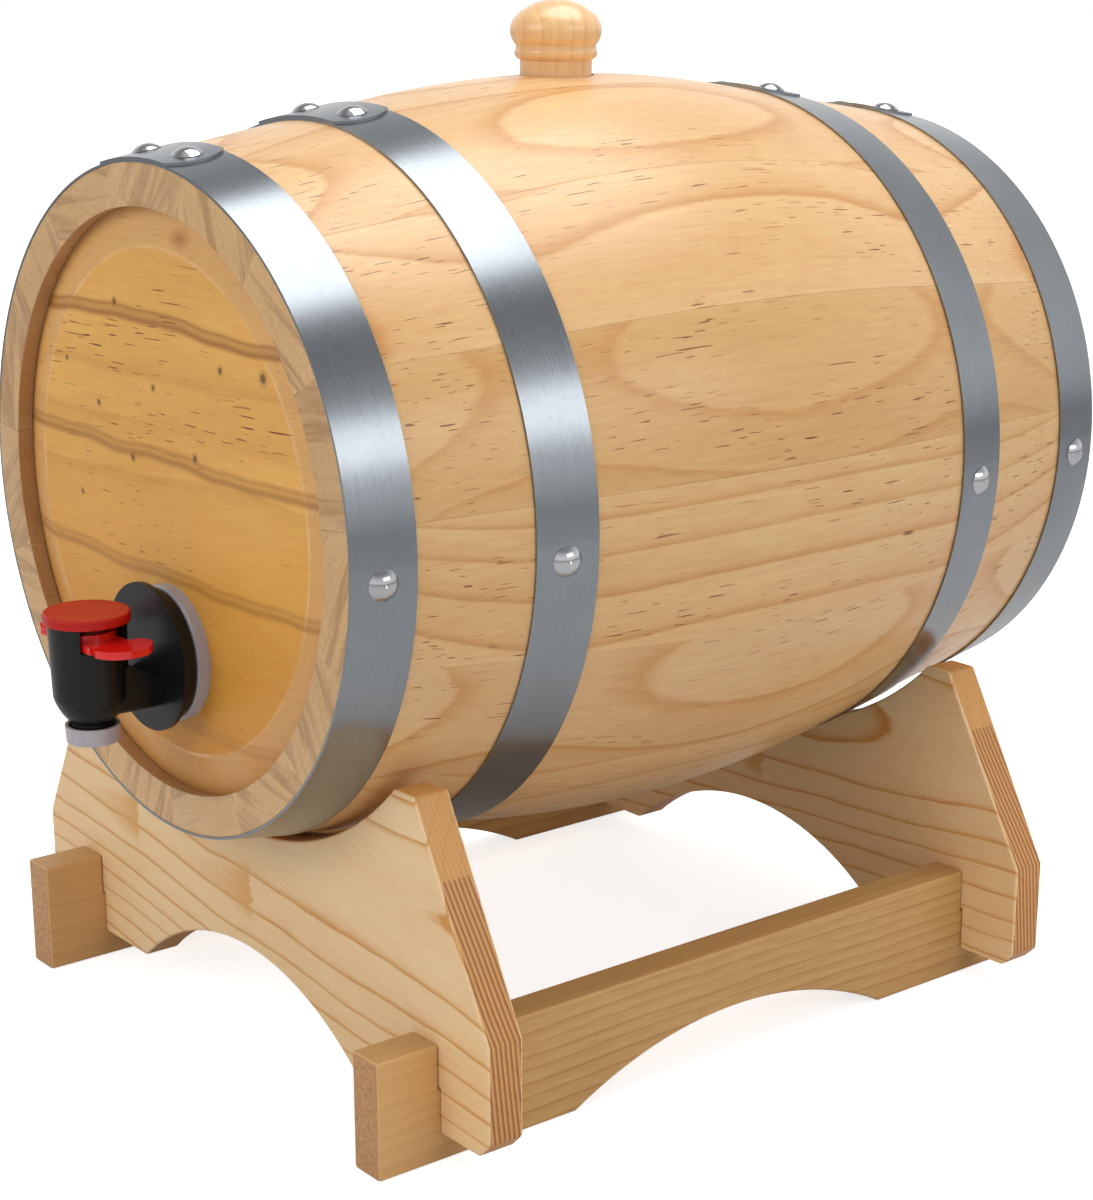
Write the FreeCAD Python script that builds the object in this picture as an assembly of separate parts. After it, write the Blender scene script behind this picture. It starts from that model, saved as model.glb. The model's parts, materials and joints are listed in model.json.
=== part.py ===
import FreeCAD, Part
import math
import os

from FreeCAD import Vector

# Coopered pine cask on a cross-lapped stand, with a squeeze tap in its front head.
# Millimetres. The origin is on the floor under the middle of the object's length, the
# cask lies along Y with its tap at the -Y end, +X is to the right and +Z is up.

# Cask shell
cask_length = 314.0
cask_end_diameter = 208.0
cask_belly_diameter = 248.0
cask_belly_arc = 127.2
cask_axis_height = 187.0
cask_setback = 11.0
stave_count = 15
stave_thickness = 12.8

# Heads and the grooves that hold them
head_thickness = 12.8
head_bevel_width = 13.0
head_panel_recess = 3.5
head_bevel_drop = 2.5
head_tongue_thickness = 5.0
head_tongue_depth = 2.7
head_rear_bevel = 7.0
head_groove_clearance = 0.1
head_joint_low = -46.8
head_joint_high = 24.0

# Hoops with their riveted overlap and their nails
hoop_width = 20.6
hoop_thickness = 0.8
quarter_hoop_place = 98.5
hoop_lap_end = 104.0
hoop_lap_tip = 80.5
hoop_tip_radius = 13.6
rivet_angles = (97.8, 85.0)
rivet_head_diameter = 9.6
rivet_head_height = 2.0
rivet_shank_diameter = 4.0
nail_drop_angle = 2.7
nail_head_diameter = 9.4
nail_head_height = 2.2
nail_shank_diameter = 2.2
nail_length = 9.0
fastener_clearance = 0.1

# Bung, its seal and the filler neck that it closes
bung_hole_diameter = 25.2
bung_knob_diameter = 30.2
bung_neck_clearance = 0.7
bung_bead_diameter = 27.4
bung_bead_foot = 4.5
bung_bead_width = 3.8
bung_groove_diameter = 26.6
bung_groove_width = 1.0
bung_crown_diameter = 26.4
bung_crown_rise = 5.2
bung_height = 23.8
bung_neck_depth = 3.4
bung_shank_clearance = 0.4
bung_shank_length = 12.0
bung_shank_taper = 0.6
bung_seal_section = 1.6
bung_seal_place = 5.0
bung_seal_stand = 0.2
bung_seal_clearance = 0.02
filler_neck_clearance = 0.2
filler_neck_wall = 2.4
filler_rim_gap = 0.3
filler_flange_width = 3.6
filler_flange_thickness = 1.2

# Liner bag and the gland that brings it through the front head
liner_clearance = 1.5
liner_settle = 1.2
liner_wall = 0.8
tap_drop = 46.8
gland_hole_clearance = 0.3
gland_tube_diameter = 26.0
gland_tube_wall = 2.0
gland_flange_width = 6.0
gland_flange_thickness = 2.0
collar_diameter = 43.4
collar_thickness = 4.1
collar_chamfer = 0.6
collar_bore_clearance = 0.1

# Tap: one hollow moulding with a spigot, a double flange, a duct, a barrel and a nozzle
tap_running_gap = 0.4
spigot_clearance = 0.08
spigot_length = 9.0
spigot_wall = 2.4
spigot_rib_width = 1.6
spigot_core_relief = 0.6
rear_flange_diameter = 41.6
rear_flange_thickness = 3.2
flange_groove_width = 0.8
flange_groove_diameter = 36.0
front_flange_diameter = 47.0
front_flange_thickness = 1.6
barrel_reach = 29.9
barrel_top = 15.4
barrel_top_diameter = 24.4
barrel_foot_diameter = 23.0
barrel_wall = 1.3
shoulder_top = -8.2
shoulder_foot = -16.8
nozzle_diameter = 12.8
nozzle_wall = 1.8
nozzle_end = -21.7
valve_seat_diameter = 12.4
valve_seat_height = -13.6
valve_shoulder_inset = 1.6
valve_shoulder_height = -11.9
shoulder_bulge = 1.7
duct_width = 18.0
duct_floor = -14.5
duct_roof_at_flange = -4.9
duct_roof_at_barrel = 0.3
duct_roof_run = 10.1
duct_wall = 1.6
duct_rounding = 3.2
window_width = 15.2
window_sill = 7.7

# Tap lid, squeeze lever, valve plug, elastic return dome and spout cap
lid_diameter = 27.0
lid_top = 18.3
lid_skirt = 3.1
lid_underside = 16.8
lid_dish = 0.5
lid_rim_width = 1.6
lid_rounding = 0.8
lid_skirt_taper = 0.1
lever_travel = 4.0
lever_stop_gap = 0.6
lever_hub_gap = 0.2
lever_guide_clearance = 0.08
lever_guide_foot = 0.6
lever_hub_clearance = 1.4
lever_hub_wall = 1.2
lever_hub_floor = 8.8
lever_stem_diameter = 5.2
lever_stem_lift = 0.7
wing_thickness = 2.4
wing_neck_clearance = 0.8
wing_root_taper = 1.2
wing_shoulder = 4.0
wing_width = 19.0
wing_reach = 24.5
wing_offset = 2.75
wing_gap = 0.7
plug_side_clearance = 0.3
plug_height = 5.2
plug_top_chamfer = 1.4
plug_lift = 0.3
plug_socket_clearance = 0.1
dome_side_clearance = 0.4
dome_top_diameter = 8.4
dome_wall = 1.5
dome_clearance = 0.05
cap_side_gap = 0.8
cap_flare = 0.3
cap_height = 5.3
cap_wall = 1.0
cap_plug_height = 2.0
cap_clearance = 0.3

# Stand: two cradle boards cross-lapped with two rails
board_thickness = 13.0
cradle_spacing = 229.0
cradle_width = 266.0
cradle_foot_height = 9.2
cradle_knee_height = 45.8
cradle_seat_radius = 122.0
cradle_seat_clearance = 0.3
horn_rise = 36.8
horn_width = 10.2
foot_chamfer = 4.9
cradle_arch_radius = 100.0
cradle_arch_height = 35.0
rail_length = 287.0
rail_spacing = 204.2
rail_height = 38.6
rail_arch_radius = 142.0
rail_arch_height = 17.3
lap_height = 24.0
lap_clearance = 0.1

half_length = cask_length / 2
end_radius = cask_end_diameter / 2
belly_radius = cask_belly_diameter / 2

# Half the angle of the straight ends, found so that the belly's arc meets them smoothly
belly_rise = belly_radius - end_radius
arc_half = cask_belly_arc / 2
half_slope = 0.0
slope_refinements = 30
for step in range(slope_refinements):
    half_slope = belly_rise / (2 * (half_length - arc_half) / (1 - half_slope ** 2) + arc_half)
taper_angle = 2 * math.atan(half_slope)
cask_taper = math.tan(taper_angle)

stave_angle = 360.0 / stave_count
inner_end_radius = end_radius - stave_thickness / math.cos(taper_angle)
inner_belly_radius = belly_radius - stave_thickness
head_rim_radius = inner_end_radius + cask_taper * (head_panel_recess + head_bevel_drop)
head_groove_radius = head_rim_radius + head_tongue_depth
filler_neck_diameter = bung_hole_diameter - 2 * filler_neck_clearance
filler_neck_bore = filler_neck_diameter - 2 * filler_neck_wall
gland_bore = gland_tube_diameter - 2 * gland_tube_wall
barrel_bore = barrel_foot_diameter - 2 * barrel_wall
nozzle_bore = nozzle_diameter - 2 * nozzle_wall
lever_hub_radius = barrel_bore / 2 - lever_hub_clearance
lever_cup_radius = lever_hub_radius - lever_hub_wall
lever_stem_foot = valve_seat_height + lever_stem_lift
wing_underside = lid_top - lid_skirt - lever_stop_gap - lever_travel - wing_thickness
panel_plane = -half_length + head_panel_recess
front_reach = -panel_plane + barrel_reach + lid_diameter / 2
cask_centre = (front_reach - half_length) / 2
stand_centre = cask_centre - cask_setback
cask_origin = Vector(0, cask_centre, cask_axis_height)
tap_origin = cask_origin + Vector(0, panel_plane, -tap_drop)
top_angle = 90.0
cut_through = 1.0
same_height = 0.01

os.makedirs("parts", exist_ok=True)


def save(shape, node, origin):
    """Write one node, moved from its own frame to its place on the object."""
    placed = shape.copy()
    placed.translate(origin)
    placed.exportStep("parts/" + node + ".step")


def polygon(points):
    """Straight edges through the points, closed back to the first one."""
    edges = []
    for start, end in zip(points, points[1:] + points[:1]):
        edges.append(Part.LineSegment(start, end).toShape())
    return edges


def face_from(edges):
    """A flat face from edges that close up."""
    return Part.Face(Part.Wire(Part.__sortEdges__(edges)))


def turned(points):
    """A solid turned about Z from an outline of (radius, height) points."""
    outline = face_from(polygon([Vector(radius, 0, height) for radius, height in points]))
    return outline.revolve(Vector(0, 0, 0), Vector(0, 0, 1), 360)


def turned_about_y(points):
    """A solid turned about Y from an outline of (radius, place along Y) points."""
    outline = face_from(polygon([Vector(radius, place, 0) for radius, place in points]))
    return outline.revolve(Vector(0, 0, 0), Vector(0, 1, 0), 360)


def rod_along_y(radius, start, end, height=0.0):
    """A round rod along Y between two places, at a height."""
    return Part.makeCylinder(radius, end - start, Vector(0, start, height), Vector(0, 1, 0))


def block(low, high):
    """A box from its low corner to its high corner."""
    return Part.makeBox(high[0] - low[0], high[1] - low[1], high[2] - low[2], Vector(*low))


def cask_outside(place):
    """Radius of the bare cask at a place along its axis, on the straight taper."""
    return end_radius + cask_taper * (half_length - abs(place))


def belly_start(end, belly):
    """Where the straight taper meets the belly's arc, tangent to it."""
    return (end + cask_taper * half_length - belly) / (cask_taper - math.tan(taper_angle / 2))


def bulge_edges(end, belly, half):
    """Taper, belly arc and taper of one long side, from -Y to +Y."""
    start = belly_start(end, belly)
    at_start = end + cask_taper * (half_length - start)
    at_end = end + cask_taper * (half_length - half)
    front = Part.LineSegment(Vector(at_end, -half, 0), Vector(at_start, -start, 0))
    middle = Part.Arc(Vector(at_start, -start, 0), Vector(belly, 0, 0), Vector(at_start, start, 0))
    rear = Part.LineSegment(Vector(at_start, start, 0), Vector(at_end, half, 0))
    return [front.toShape(), middle.toShape(), rear.toShape()]


def groove_edges(side):
    """Inside of a stave from its end, round the head groove, to the inner taper."""
    front = head_panel_recess + head_bevel_drop - head_groove_clearance
    back = front + head_tongue_thickness + 2 * head_groove_clearance
    corners = [
        (inner_end_radius, 0.0),
        (inner_end_radius + cask_taper * front, front),
        (head_groove_radius, front),
        (head_groove_radius, back),
        (inner_end_radius + cask_taper * back, back),
    ]
    points = [Vector(radius, side * (half_length - depth), 0) for radius, depth in corners]
    edges = [Part.LineSegment(a, b).toShape() for a, b in zip(points, points[1:])]
    return edges, back


def stave_blank():
    """One stave: a bowed plank with radial edges and a head groove near each end."""
    front_edges, depth = groove_edges(-1)
    rear_edges, depth = groove_edges(1)
    edges = bulge_edges(end_radius, belly_radius, half_length)
    edges += bulge_edges(inner_end_radius, inner_belly_radius, half_length - depth)
    edges += front_edges + rear_edges
    for side in (-1, 1):
        outside = Vector(end_radius, side * half_length, 0)
        inside = Vector(inner_end_radius, side * half_length, 0)
        edges.append(Part.LineSegment(outside, inside).toShape())
    plank = face_from(edges).revolve(Vector(0, 0, 0), Vector(0, -1, 0), stave_angle)
    return plank


def surface_frame(angle, place):
    """Point on the tapered cask and the outward normal there."""
    turn = math.radians(angle)
    radius = cask_outside(place)
    lean = math.sin(taper_angle) * (1 if place > 0 else -1)
    spread = math.cos(taper_angle)
    point = Vector(radius * math.cos(turn), place, radius * math.sin(turn))
    normal = Vector(spread * math.cos(turn), lean, spread * math.sin(turn))
    return point, normal


def domed_head(diameter, height):
    """A shallow dome standing on z = 0."""
    radius = diameter / 2
    ball = (radius * radius + height * height) / (2 * height)
    rim = Part.LineSegment(Vector(0, 0, 0), Vector(radius, 0, 0))
    middle = math.asin(radius / ball) / 2
    on_arc = Vector(ball * math.sin(middle), 0, height - ball + ball * math.cos(middle))
    crown = Part.Arc(Vector(radius, 0, 0), on_arc, Vector(0, 0, height))
    core = Part.LineSegment(Vector(0, 0, height), Vector(0, 0, 0))
    outline = face_from([rim.toShape(), crown.toShape(), core.toShape()])
    return outline.revolve(Vector(0, 0, 0), Vector(0, 0, 1), 360)


def set_on_cask(shape, angle, place):
    """Turn a shape that stands on z = 0 so that it stands on the cask's side."""
    point, normal = surface_frame(angle, place)
    seated = shape.copy()
    seated.Placement = FreeCAD.Placement(point, FreeCAD.Rotation(Vector(0, 0, 1), normal))
    return seated


hoop_centres = []
for hoop_side in (-1, 1):
    hoop_centres.append(hoop_side * (half_length - hoop_width / 2))
    hoop_centres.append(hoop_side * (quarter_hoop_place - hoop_width / 2))
hoop_centres.sort()
nail_angles = (-nail_drop_angle, 180.0 + nail_drop_angle)


def shank(diameter, length, top):
    """A round shank that reaches down from a height above the cask's side."""
    return Part.makeCylinder(diameter / 2, length, Vector(0, 0, top - length), Vector(0, 0, 1))


def nail_holes():
    """Holes of every hoop nail, to be taken out of the staves and the hoops."""
    hole = shank(nail_shank_diameter + 2 * fastener_clearance, nail_length + hoop_thickness, hoop_thickness)
    return [set_on_cask(hole, angle, place) for place in hoop_centres for angle in nail_angles]


def make_staves():
    """Fifteen glued staves; the bung's hole is bored through the one on top."""
    blank = stave_blank()
    holes = Part.makeCompound(nail_holes())
    bung_bore = Part.makeCylinder(bung_hole_diameter / 2, belly_radius)
    for number in range(stave_count):
        stave = blank.copy()
        start = top_angle - stave_angle / 2 + number * stave_angle
        stave.rotate(Vector(0, 0, 0), Vector(0, -1, 0), start)
        name = "stave_%02d" % (number + 1)
        if number == 0:
            stave = stave.cut(bung_bore)
            name = "bung_stave"
        stave = stave.cut(holes)
        save(stave.Solids[0], name, cask_origin)


def head_disc():
    """A round head with a bevelled rim, its face towards -Y, its panel plane at y = 0."""
    rim_front = head_bevel_drop
    rim_back = rim_front + head_tongue_thickness
    tongue_radius = head_groove_radius - 2 * head_groove_clearance
    return turned_about_y([
        (0, 0),
        (head_rim_radius - head_bevel_width, 0),
        (head_rim_radius, rim_front),
        (tongue_radius, rim_front),
        (tongue_radius, rim_back),
        (head_rim_radius, rim_back),
        (head_rim_radius - head_rear_bevel, head_thickness),
        (0, head_thickness),
    ])


def make_heads():
    """Each head is three boards edge to edge; the front one is bored for the gland."""
    reach = cask_end_diameter
    hole_radius = gland_tube_diameter / 2 + gland_hole_clearance
    gland_hole = rod_along_y(hole_radius, -cut_through, head_thickness + cut_through, -tap_drop)
    front = head_disc().cut(gland_hole)
    rear = head_disc()
    rear.rotate(Vector(0, 0, 0), Vector(0, 0, 1), 180)
    bands = (
        ("low", -reach, head_joint_low),
        ("middle", head_joint_low, head_joint_high),
        ("high", head_joint_high, reach),
    )
    for place, low, high in bands:
        band = block((-reach, -reach, low), (reach, reach, high))
        save(front.common(band).Solids[0], "front_head_" + place, cask_origin + Vector(0, panel_plane, 0))
        save(rear.common(band).Solids[0], "rear_head_" + place, cask_origin + Vector(0, -panel_plane, 0))


def hoop_section(place, inside, outside):
    """Cross-section of a hoop's strip between two heights above the cask's side."""
    low = place - hoop_width / 2
    high = place + hoop_width / 2
    return face_from(polygon([
        Vector(cask_outside(low) + inside, low, 0),
        Vector(cask_outside(high) + inside, high, 0),
        Vector(cask_outside(high) + outside, high, 0),
        Vector(cask_outside(low) + outside, low, 0),
    ]))


def hoop_tip_outline(place):
    """Plan of the overlap's end, rounded towards +X, as a tall block to cut with."""
    tip = cask_outside(place) * math.cos(math.radians(hoop_lap_tip))
    half = hoop_width / 2
    back = math.sqrt(hoop_tip_radius ** 2 - half ** 2)
    shoulder = tip - hoop_tip_radius + back
    left = -cask_end_diameter / 2
    corners = [Vector(shoulder, place - half, 0), Vector(left, place - half, 0)]
    corners += [Vector(left, place + half, 0), Vector(shoulder, place + half, 0)]
    edges = [Part.LineSegment(a, b).toShape() for a, b in zip(corners, corners[1:])]
    edges.append(Part.Arc(corners[3], Vector(tip, place, 0), corners[0]).toShape())
    return face_from(edges).extrude(Vector(0, 0, cask_belly_diameter))


def make_hoop(place, cuts):
    """A closed steel band whose strip laps over itself on top, drilled for its nails."""
    ring = hoop_section(place, 0, hoop_thickness)
    ring = ring.revolve(Vector(0, 0, 0), Vector(0, -1, 0), 360)
    lap = hoop_section(place, hoop_thickness, 2 * hoop_thickness)
    lap.rotate(Vector(0, 0, 0), Vector(0, -1, 0), hoop_lap_tip)
    lap = lap.revolve(Vector(0, 0, 0), Vector(0, -1, 0), hoop_lap_end - hoop_lap_tip)
    lap = lap.common(hoop_tip_outline(place))
    return ring.fuse(lap).cut(cuts).removeSplitter()


def rivet():
    """A domed rivet through both layers of the overlap, flush with the inner one."""
    head = domed_head(rivet_head_diameter, rivet_head_height)
    head.translate(Vector(0, 0, 2 * hoop_thickness))
    return head.fuse(shank(rivet_shank_diameter, 2 * hoop_thickness, 2 * hoop_thickness))


def nail():
    """A domed nail through the hoop into the stave."""
    head = domed_head(nail_head_diameter, nail_head_height)
    head.translate(Vector(0, 0, hoop_thickness))
    return head.fuse(shank(nail_shank_diameter, nail_length + hoop_thickness, hoop_thickness))


def make_hoops():
    """Two head hoops and two quarter hoops, with their rivets and nails."""
    names = ("front_head_hoop", "front_quarter_hoop", "rear_quarter_hoop", "rear_head_hoop")
    hole_top = 2 * hoop_thickness + cut_through
    rivet_hole = shank(rivet_shank_diameter + 2 * fastener_clearance, hole_top + cut_through, hole_top)
    cuts = nail_holes()
    rivets = []
    nails = []
    for place in hoop_centres:
        for angle in rivet_angles:
            cuts.append(set_on_cask(rivet_hole, angle, place))
            rivets.append(set_on_cask(rivet(), angle, place))
        for angle in nail_angles:
            nails.append(set_on_cask(nail(), angle, place))
    for name, place in zip(names, hoop_centres):
        save(make_hoop(place, Part.makeCompound(cuts)).Solids[0], name, cask_origin)
    save(Part.makeCompound(rivets), "hoop_rivets", cask_origin)
    save(Part.makeCompound(nails), "hoop_nails", cask_origin)


def make_bung():
    """A turned knob with a groove and a bead, a neck, and a tapered shank with a seal."""
    neck = bung_hole_diameter / 2 - bung_neck_clearance
    knob = bung_knob_diameter / 2
    bead = bung_bead_diameter / 2
    groove = bung_groove_diameter / 2
    shank_top = filler_neck_bore / 2 - bung_shank_clearance
    shank_end = shank_top - bung_shank_taper / 2
    foot = -bung_neck_depth - bung_shank_length
    crown = bung_crown_diameter / 2
    bead_foot = bung_bead_foot
    bead_top = bead_foot + bung_bead_width
    knob_foot = bead_top + bung_groove_width
    crown_foot = bung_height - bung_crown_rise
    ball = (crown * crown + bung_crown_rise * bung_crown_rise) / (2 * bung_crown_rise)
    middle = math.asin(crown / ball) / 2
    on_crown = Vector(ball * math.sin(middle), 0, bung_height - ball + ball * math.cos(middle))
    outline = [
        Part.LineSegment(Vector(0, 0, foot), Vector(shank_end, 0, foot)).toShape(),
        Part.LineSegment(Vector(shank_end, 0, foot), Vector(shank_top, 0, -bung_neck_depth)).toShape(),
        Part.LineSegment(Vector(shank_top, 0, -bung_neck_depth), Vector(neck, 0, -bung_neck_depth)).toShape(),
        Part.LineSegment(Vector(neck, 0, -bung_neck_depth), Vector(neck, 0, bead_foot)).toShape(),
        Part.Arc(
            Vector(neck, 0, bead_foot),
            Vector(bead, 0, (bead_foot + bead_top) / 2),
            Vector(groove, 0, bead_top)).toShape(),
        Part.LineSegment(Vector(groove, 0, bead_top), Vector(groove, 0, knob_foot)).toShape(),
        Part.Arc(
            Vector(groove, 0, knob_foot),
            Vector(knob, 0, (knob_foot + crown_foot) / 2),
            Vector(crown, 0, crown_foot)).toShape(),
        Part.Arc(Vector(crown, 0, crown_foot), on_crown, Vector(0, 0, bung_height)).toShape(),
        Part.LineSegment(Vector(0, 0, bung_height), Vector(0, 0, foot)).toShape(),
    ]
    bung = face_from(outline).revolve(Vector(0, 0, 0), Vector(0, 0, 1), 360)
    seal_height = -bung_neck_depth - bung_seal_place
    seal_centre = shank_top - bung_seal_section / 2 + bung_seal_stand
    seal = Part.makeTorus(seal_centre, bung_seal_section / 2, Vector(0, 0, seal_height))
    groove_section = bung_seal_section / 2 + bung_seal_clearance
    groove_ring = Part.makeTorus(seal_centre, groove_section, Vector(0, 0, seal_height))
    crest = cask_origin + Vector(0, 0, belly_radius)
    save(bung.cut(groove_ring), "bung", crest)
    save(seal, "bung_seal", crest)


def make_filler_neck():
    """The liner's filler neck: a tube up through the bung stave, flanged below it."""
    rim = belly_radius - bung_neck_depth - filler_rim_gap
    tube = filler_neck_diameter / 2
    flange = tube + filler_flange_width
    flange_top = math.sqrt(inner_belly_radius ** 2 - flange ** 2) - fastener_clearance
    flange_foot = flange_top - filler_flange_thickness
    neck = turned([
        (filler_neck_bore / 2, flange_foot),
        (flange, flange_foot),
        (flange, flange_top),
        (tube, flange_top),
        (tube, rim),
        (filler_neck_bore / 2, rim),
    ])
    save(neck, "filler_neck", cask_origin)


def liner_solid(shrink, half):
    """A filled bag shape that follows the inside of the cask, smaller by a margin."""
    edges = bulge_edges(inner_end_radius - shrink, inner_belly_radius - shrink, half)
    end = inner_end_radius - shrink + cask_taper * (half_length - half)
    edges.append(Part.LineSegment(Vector(end, half, 0), Vector(0, half, 0)).toShape())
    edges.append(Part.LineSegment(Vector(0, half, 0), Vector(0, -half, 0)).toShape())
    edges.append(Part.LineSegment(Vector(0, -half, 0), Vector(end, -half, 0)).toShape())
    return face_from(edges).revolve(Vector(0, 0, 0), Vector(0, 1, 0), 360)


def make_liner():
    """A foil bag, full, with a filler opening on top and a gland opening in front."""
    half = -panel_plane - head_thickness - gland_flange_thickness - fastener_clearance
    bag = liner_solid(liner_clearance, half).cut(liner_solid(liner_clearance + liner_wall, half - liner_wall))
    bag = bag.cut(Part.makeCylinder(filler_neck_bore / 2, belly_radius))
    height = liner_settle - tap_drop
    bag = bag.cut(rod_along_y(gland_bore / 2, -half_length, -half_length / 2, height))
    save(bag, "liner_bag", cask_origin - Vector(0, 0, liner_settle))


def make_gland():
    """The liner's outlet tube, flanged behind the head, and the collar on it in front."""
    tube = gland_tube_diameter / 2
    bore = gland_bore / 2
    flange = tube + gland_flange_width
    flange_back = head_thickness + gland_flange_thickness
    gland = turned_about_y([
        (bore, fastener_clearance - collar_thickness),
        (tube, fastener_clearance - collar_thickness),
        (tube, head_thickness),
        (flange, head_thickness),
        (flange, flange_back),
        (bore, flange_back),
    ])
    collar_bore = tube + collar_bore_clearance
    collar = turned_about_y([
        (collar_bore, -collar_thickness),
        (collar_diameter / 2 - collar_chamfer, -collar_thickness),
        (collar_diameter / 2, collar_chamfer - collar_thickness),
        (collar_diameter / 2, 0),
        (collar_bore, 0),
    ])
    save(gland, "liner_gland", tap_origin)
    save(collar, "gland_collar", tap_origin)


# Places along the tap, counted out from the head's panel
ring_back = -collar_thickness - tap_running_gap
ring_front = ring_back - rear_flange_thickness
disc_back = ring_front - flange_groove_width
disc_front = disc_back - front_flange_thickness
barrel_axis = Vector(0, -barrel_reach, 0)


def tap_flanges():
    """Spigot with two sealing ribs, then the rear and front flanges, about Y."""
    rib = gland_bore / 2 - spigot_clearance
    core = rib - spigot_core_relief
    first_rib = spigot_length - spigot_rib_width
    second_rib = first_rib - 2 * spigot_rib_width
    return turned_about_y([
        (0, disc_front),
        (front_flange_diameter / 2, disc_front),
        (front_flange_diameter / 2, disc_back),
        (flange_groove_diameter / 2, disc_back),
        (flange_groove_diameter / 2, ring_front),
        (rear_flange_diameter / 2, ring_front),
        (rear_flange_diameter / 2, ring_back),
        (rib, ring_back),
        (rib, second_rib - spigot_rib_width),
        (core, second_rib - spigot_rib_width),
        (core, second_rib),
        (rib, second_rib),
        (rib, second_rib + spigot_rib_width),
        (core, second_rib + spigot_rib_width),
        (core, first_rib),
        (rib, first_rib),
        (rib, spigot_length),
        (0, spigot_length),
    ])


def shoulder_arc():
    """The rounded foot of the barrel, from its side in to the nozzle."""
    top = barrel_foot_diameter / 2
    middle = Vector(top - shoulder_bulge, 0, (shoulder_top + shoulder_foot) / 2)
    return Part.Arc(Vector(top, 0, shoulder_top), middle, Vector(nozzle_diameter / 2, 0, shoulder_foot))


def tap_barrel():
    """Outside of the upright barrel with its rounded foot and nozzle, about Z."""
    top = Vector(barrel_top_diameter / 2, 0, barrel_top)
    foot = Vector(barrel_foot_diameter / 2, 0, shoulder_top)
    nozzle = Vector(nozzle_diameter / 2, 0, shoulder_foot)
    end = Vector(nozzle_diameter / 2, 0, nozzle_end)
    edges = [
        Part.LineSegment(Vector(0, 0, barrel_top), top).toShape(),
        Part.LineSegment(top, foot).toShape(),
        shoulder_arc().toShape(),
        Part.LineSegment(nozzle, end).toShape(),
        Part.LineSegment(end, Vector(0, 0, nozzle_end)).toShape(),
        Part.LineSegment(Vector(0, 0, nozzle_end), Vector(0, 0, barrel_top)).toShape(),
    ]
    return face_from(edges).revolve(Vector(0, 0, 0), Vector(0, 0, 1), 360)


def barrel_cavity():
    """Bore of the barrel, the valve's seat and the bore of the nozzle."""
    bore = barrel_bore / 2
    seat = valve_seat_diameter / 2
    throat = nozzle_bore / 2
    return turned([
        (0, barrel_top + cut_through),
        (bore, barrel_top + cut_through),
        (bore, shoulder_top),
        (bore - valve_shoulder_inset, valve_shoulder_height),
        (seat, valve_seat_height),
        (throat, valve_seat_height - seat + throat),
        (throat, nozzle_end - cut_through),
        (0, nozzle_end - cut_through),
    ])


def duct(inset, front, back):
    """The faired duct from the flange to the barrel, or the passage inside it."""
    floor = duct_floor + inset
    at_flange = duct_roof_at_flange - inset
    at_barrel = duct_roof_at_barrel - inset
    slope_end = disc_front - duct_roof_run
    half = duct_width / 2 - inset
    side = [
        Vector(-half, back, floor),
        Vector(-half, back, at_flange),
        Vector(-half, disc_front, at_flange),
        Vector(-half, slope_end, at_barrel),
        Vector(-half, front, at_barrel),
        Vector(-half, front, floor),
    ]
    body = face_from(polygon(side)).extrude(Vector(2 * half, 0, 0))
    long_edges = []
    for edge in body.Edges:
        lowest = min(vertex.Point.z for vertex in edge.Vertexes)
        highest = max(vertex.Point.z for vertex in edge.Vertexes)
        along = abs(edge.Vertexes[0].Point.x - edge.Vertexes[-1].Point.x) < same_height
        level = highest - lowest < same_height
        if along and level and abs(lowest - floor) < same_height:
            long_edges.append(edge)
    return body.makeFillet(duct_rounding - inset, long_edges)


def make_tap_body():
    """The whole black moulding, hollow from its spigot through the duct to its nozzle."""
    barrel = tap_barrel()
    barrel.translate(barrel_axis)
    outside = tap_flanges().fuse([barrel, duct(0, -barrel_reach, disc_back)])
    cavity = barrel_cavity()
    cavity.translate(barrel_axis)
    passage = duct(duct_wall, -barrel_reach, ring_back - duct_wall)
    inlet_radius = gland_bore / 2 - spigot_clearance - spigot_wall
    inlet = rod_along_y(inlet_radius, disc_front + duct_wall, spigot_length + cut_through)
    half = window_width / 2
    reach = barrel_top_diameter
    window_low = (-reach, -barrel_reach - half, window_sill)
    windows = block(window_low, (reach, half - barrel_reach, barrel_top + cut_through))
    body = outside.cut([cavity, passage, inlet, windows]).removeSplitter()
    save(body.Solids[0], "tap_body", tap_origin)


def make_tap_lid():
    """Red lid that snaps over the barrel's top, with a rounded rim and a dished face."""
    outer = lid_diameter / 2
    skirt_inside = barrel_top_diameter / 2 + fastener_clearance
    plug = barrel_bore / 2 - fastener_clearance
    skirt_foot = lid_top - lid_skirt
    dish_edge = outer - lid_rim_width
    rim = Vector(outer - lid_rounding, 0, lid_top)
    corner = Vector(outer, 0, lid_top - lid_rounding)
    corner_inset = lid_rounding * (1 - math.sqrt(0.5))
    on_corner = Vector(outer - corner_inset, 0, lid_top - corner_inset)
    floor = Vector(0, 0, lid_top - lid_dish)
    side_points = [
        floor,
        Vector(0, 0, lid_underside),
        Vector(plug, 0, lid_underside),
        Vector(plug, 0, barrel_top),
        Vector(skirt_inside, 0, barrel_top),
        Vector(skirt_inside, 0, skirt_foot),
        Vector(outer - lid_skirt_taper, 0, skirt_foot),
        corner,
    ]
    edges = [Part.LineSegment(a, b).toShape() for a, b in zip(side_points, side_points[1:])]
    edges.append(Part.Arc(corner, on_corner, rim).toShape())
    inner_rim = Vector(dish_edge, 0, lid_top - lid_dish / 3)
    edges.append(Part.LineSegment(rim, inner_rim).toShape())
    edges.append(Part.LineSegment(inner_rim, floor).toShape())
    lid = face_from(edges).revolve(Vector(0, 0, 0), Vector(0, 0, 1), 360)
    save(lid, "tap_lid", tap_origin + barrel_axis)


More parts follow.
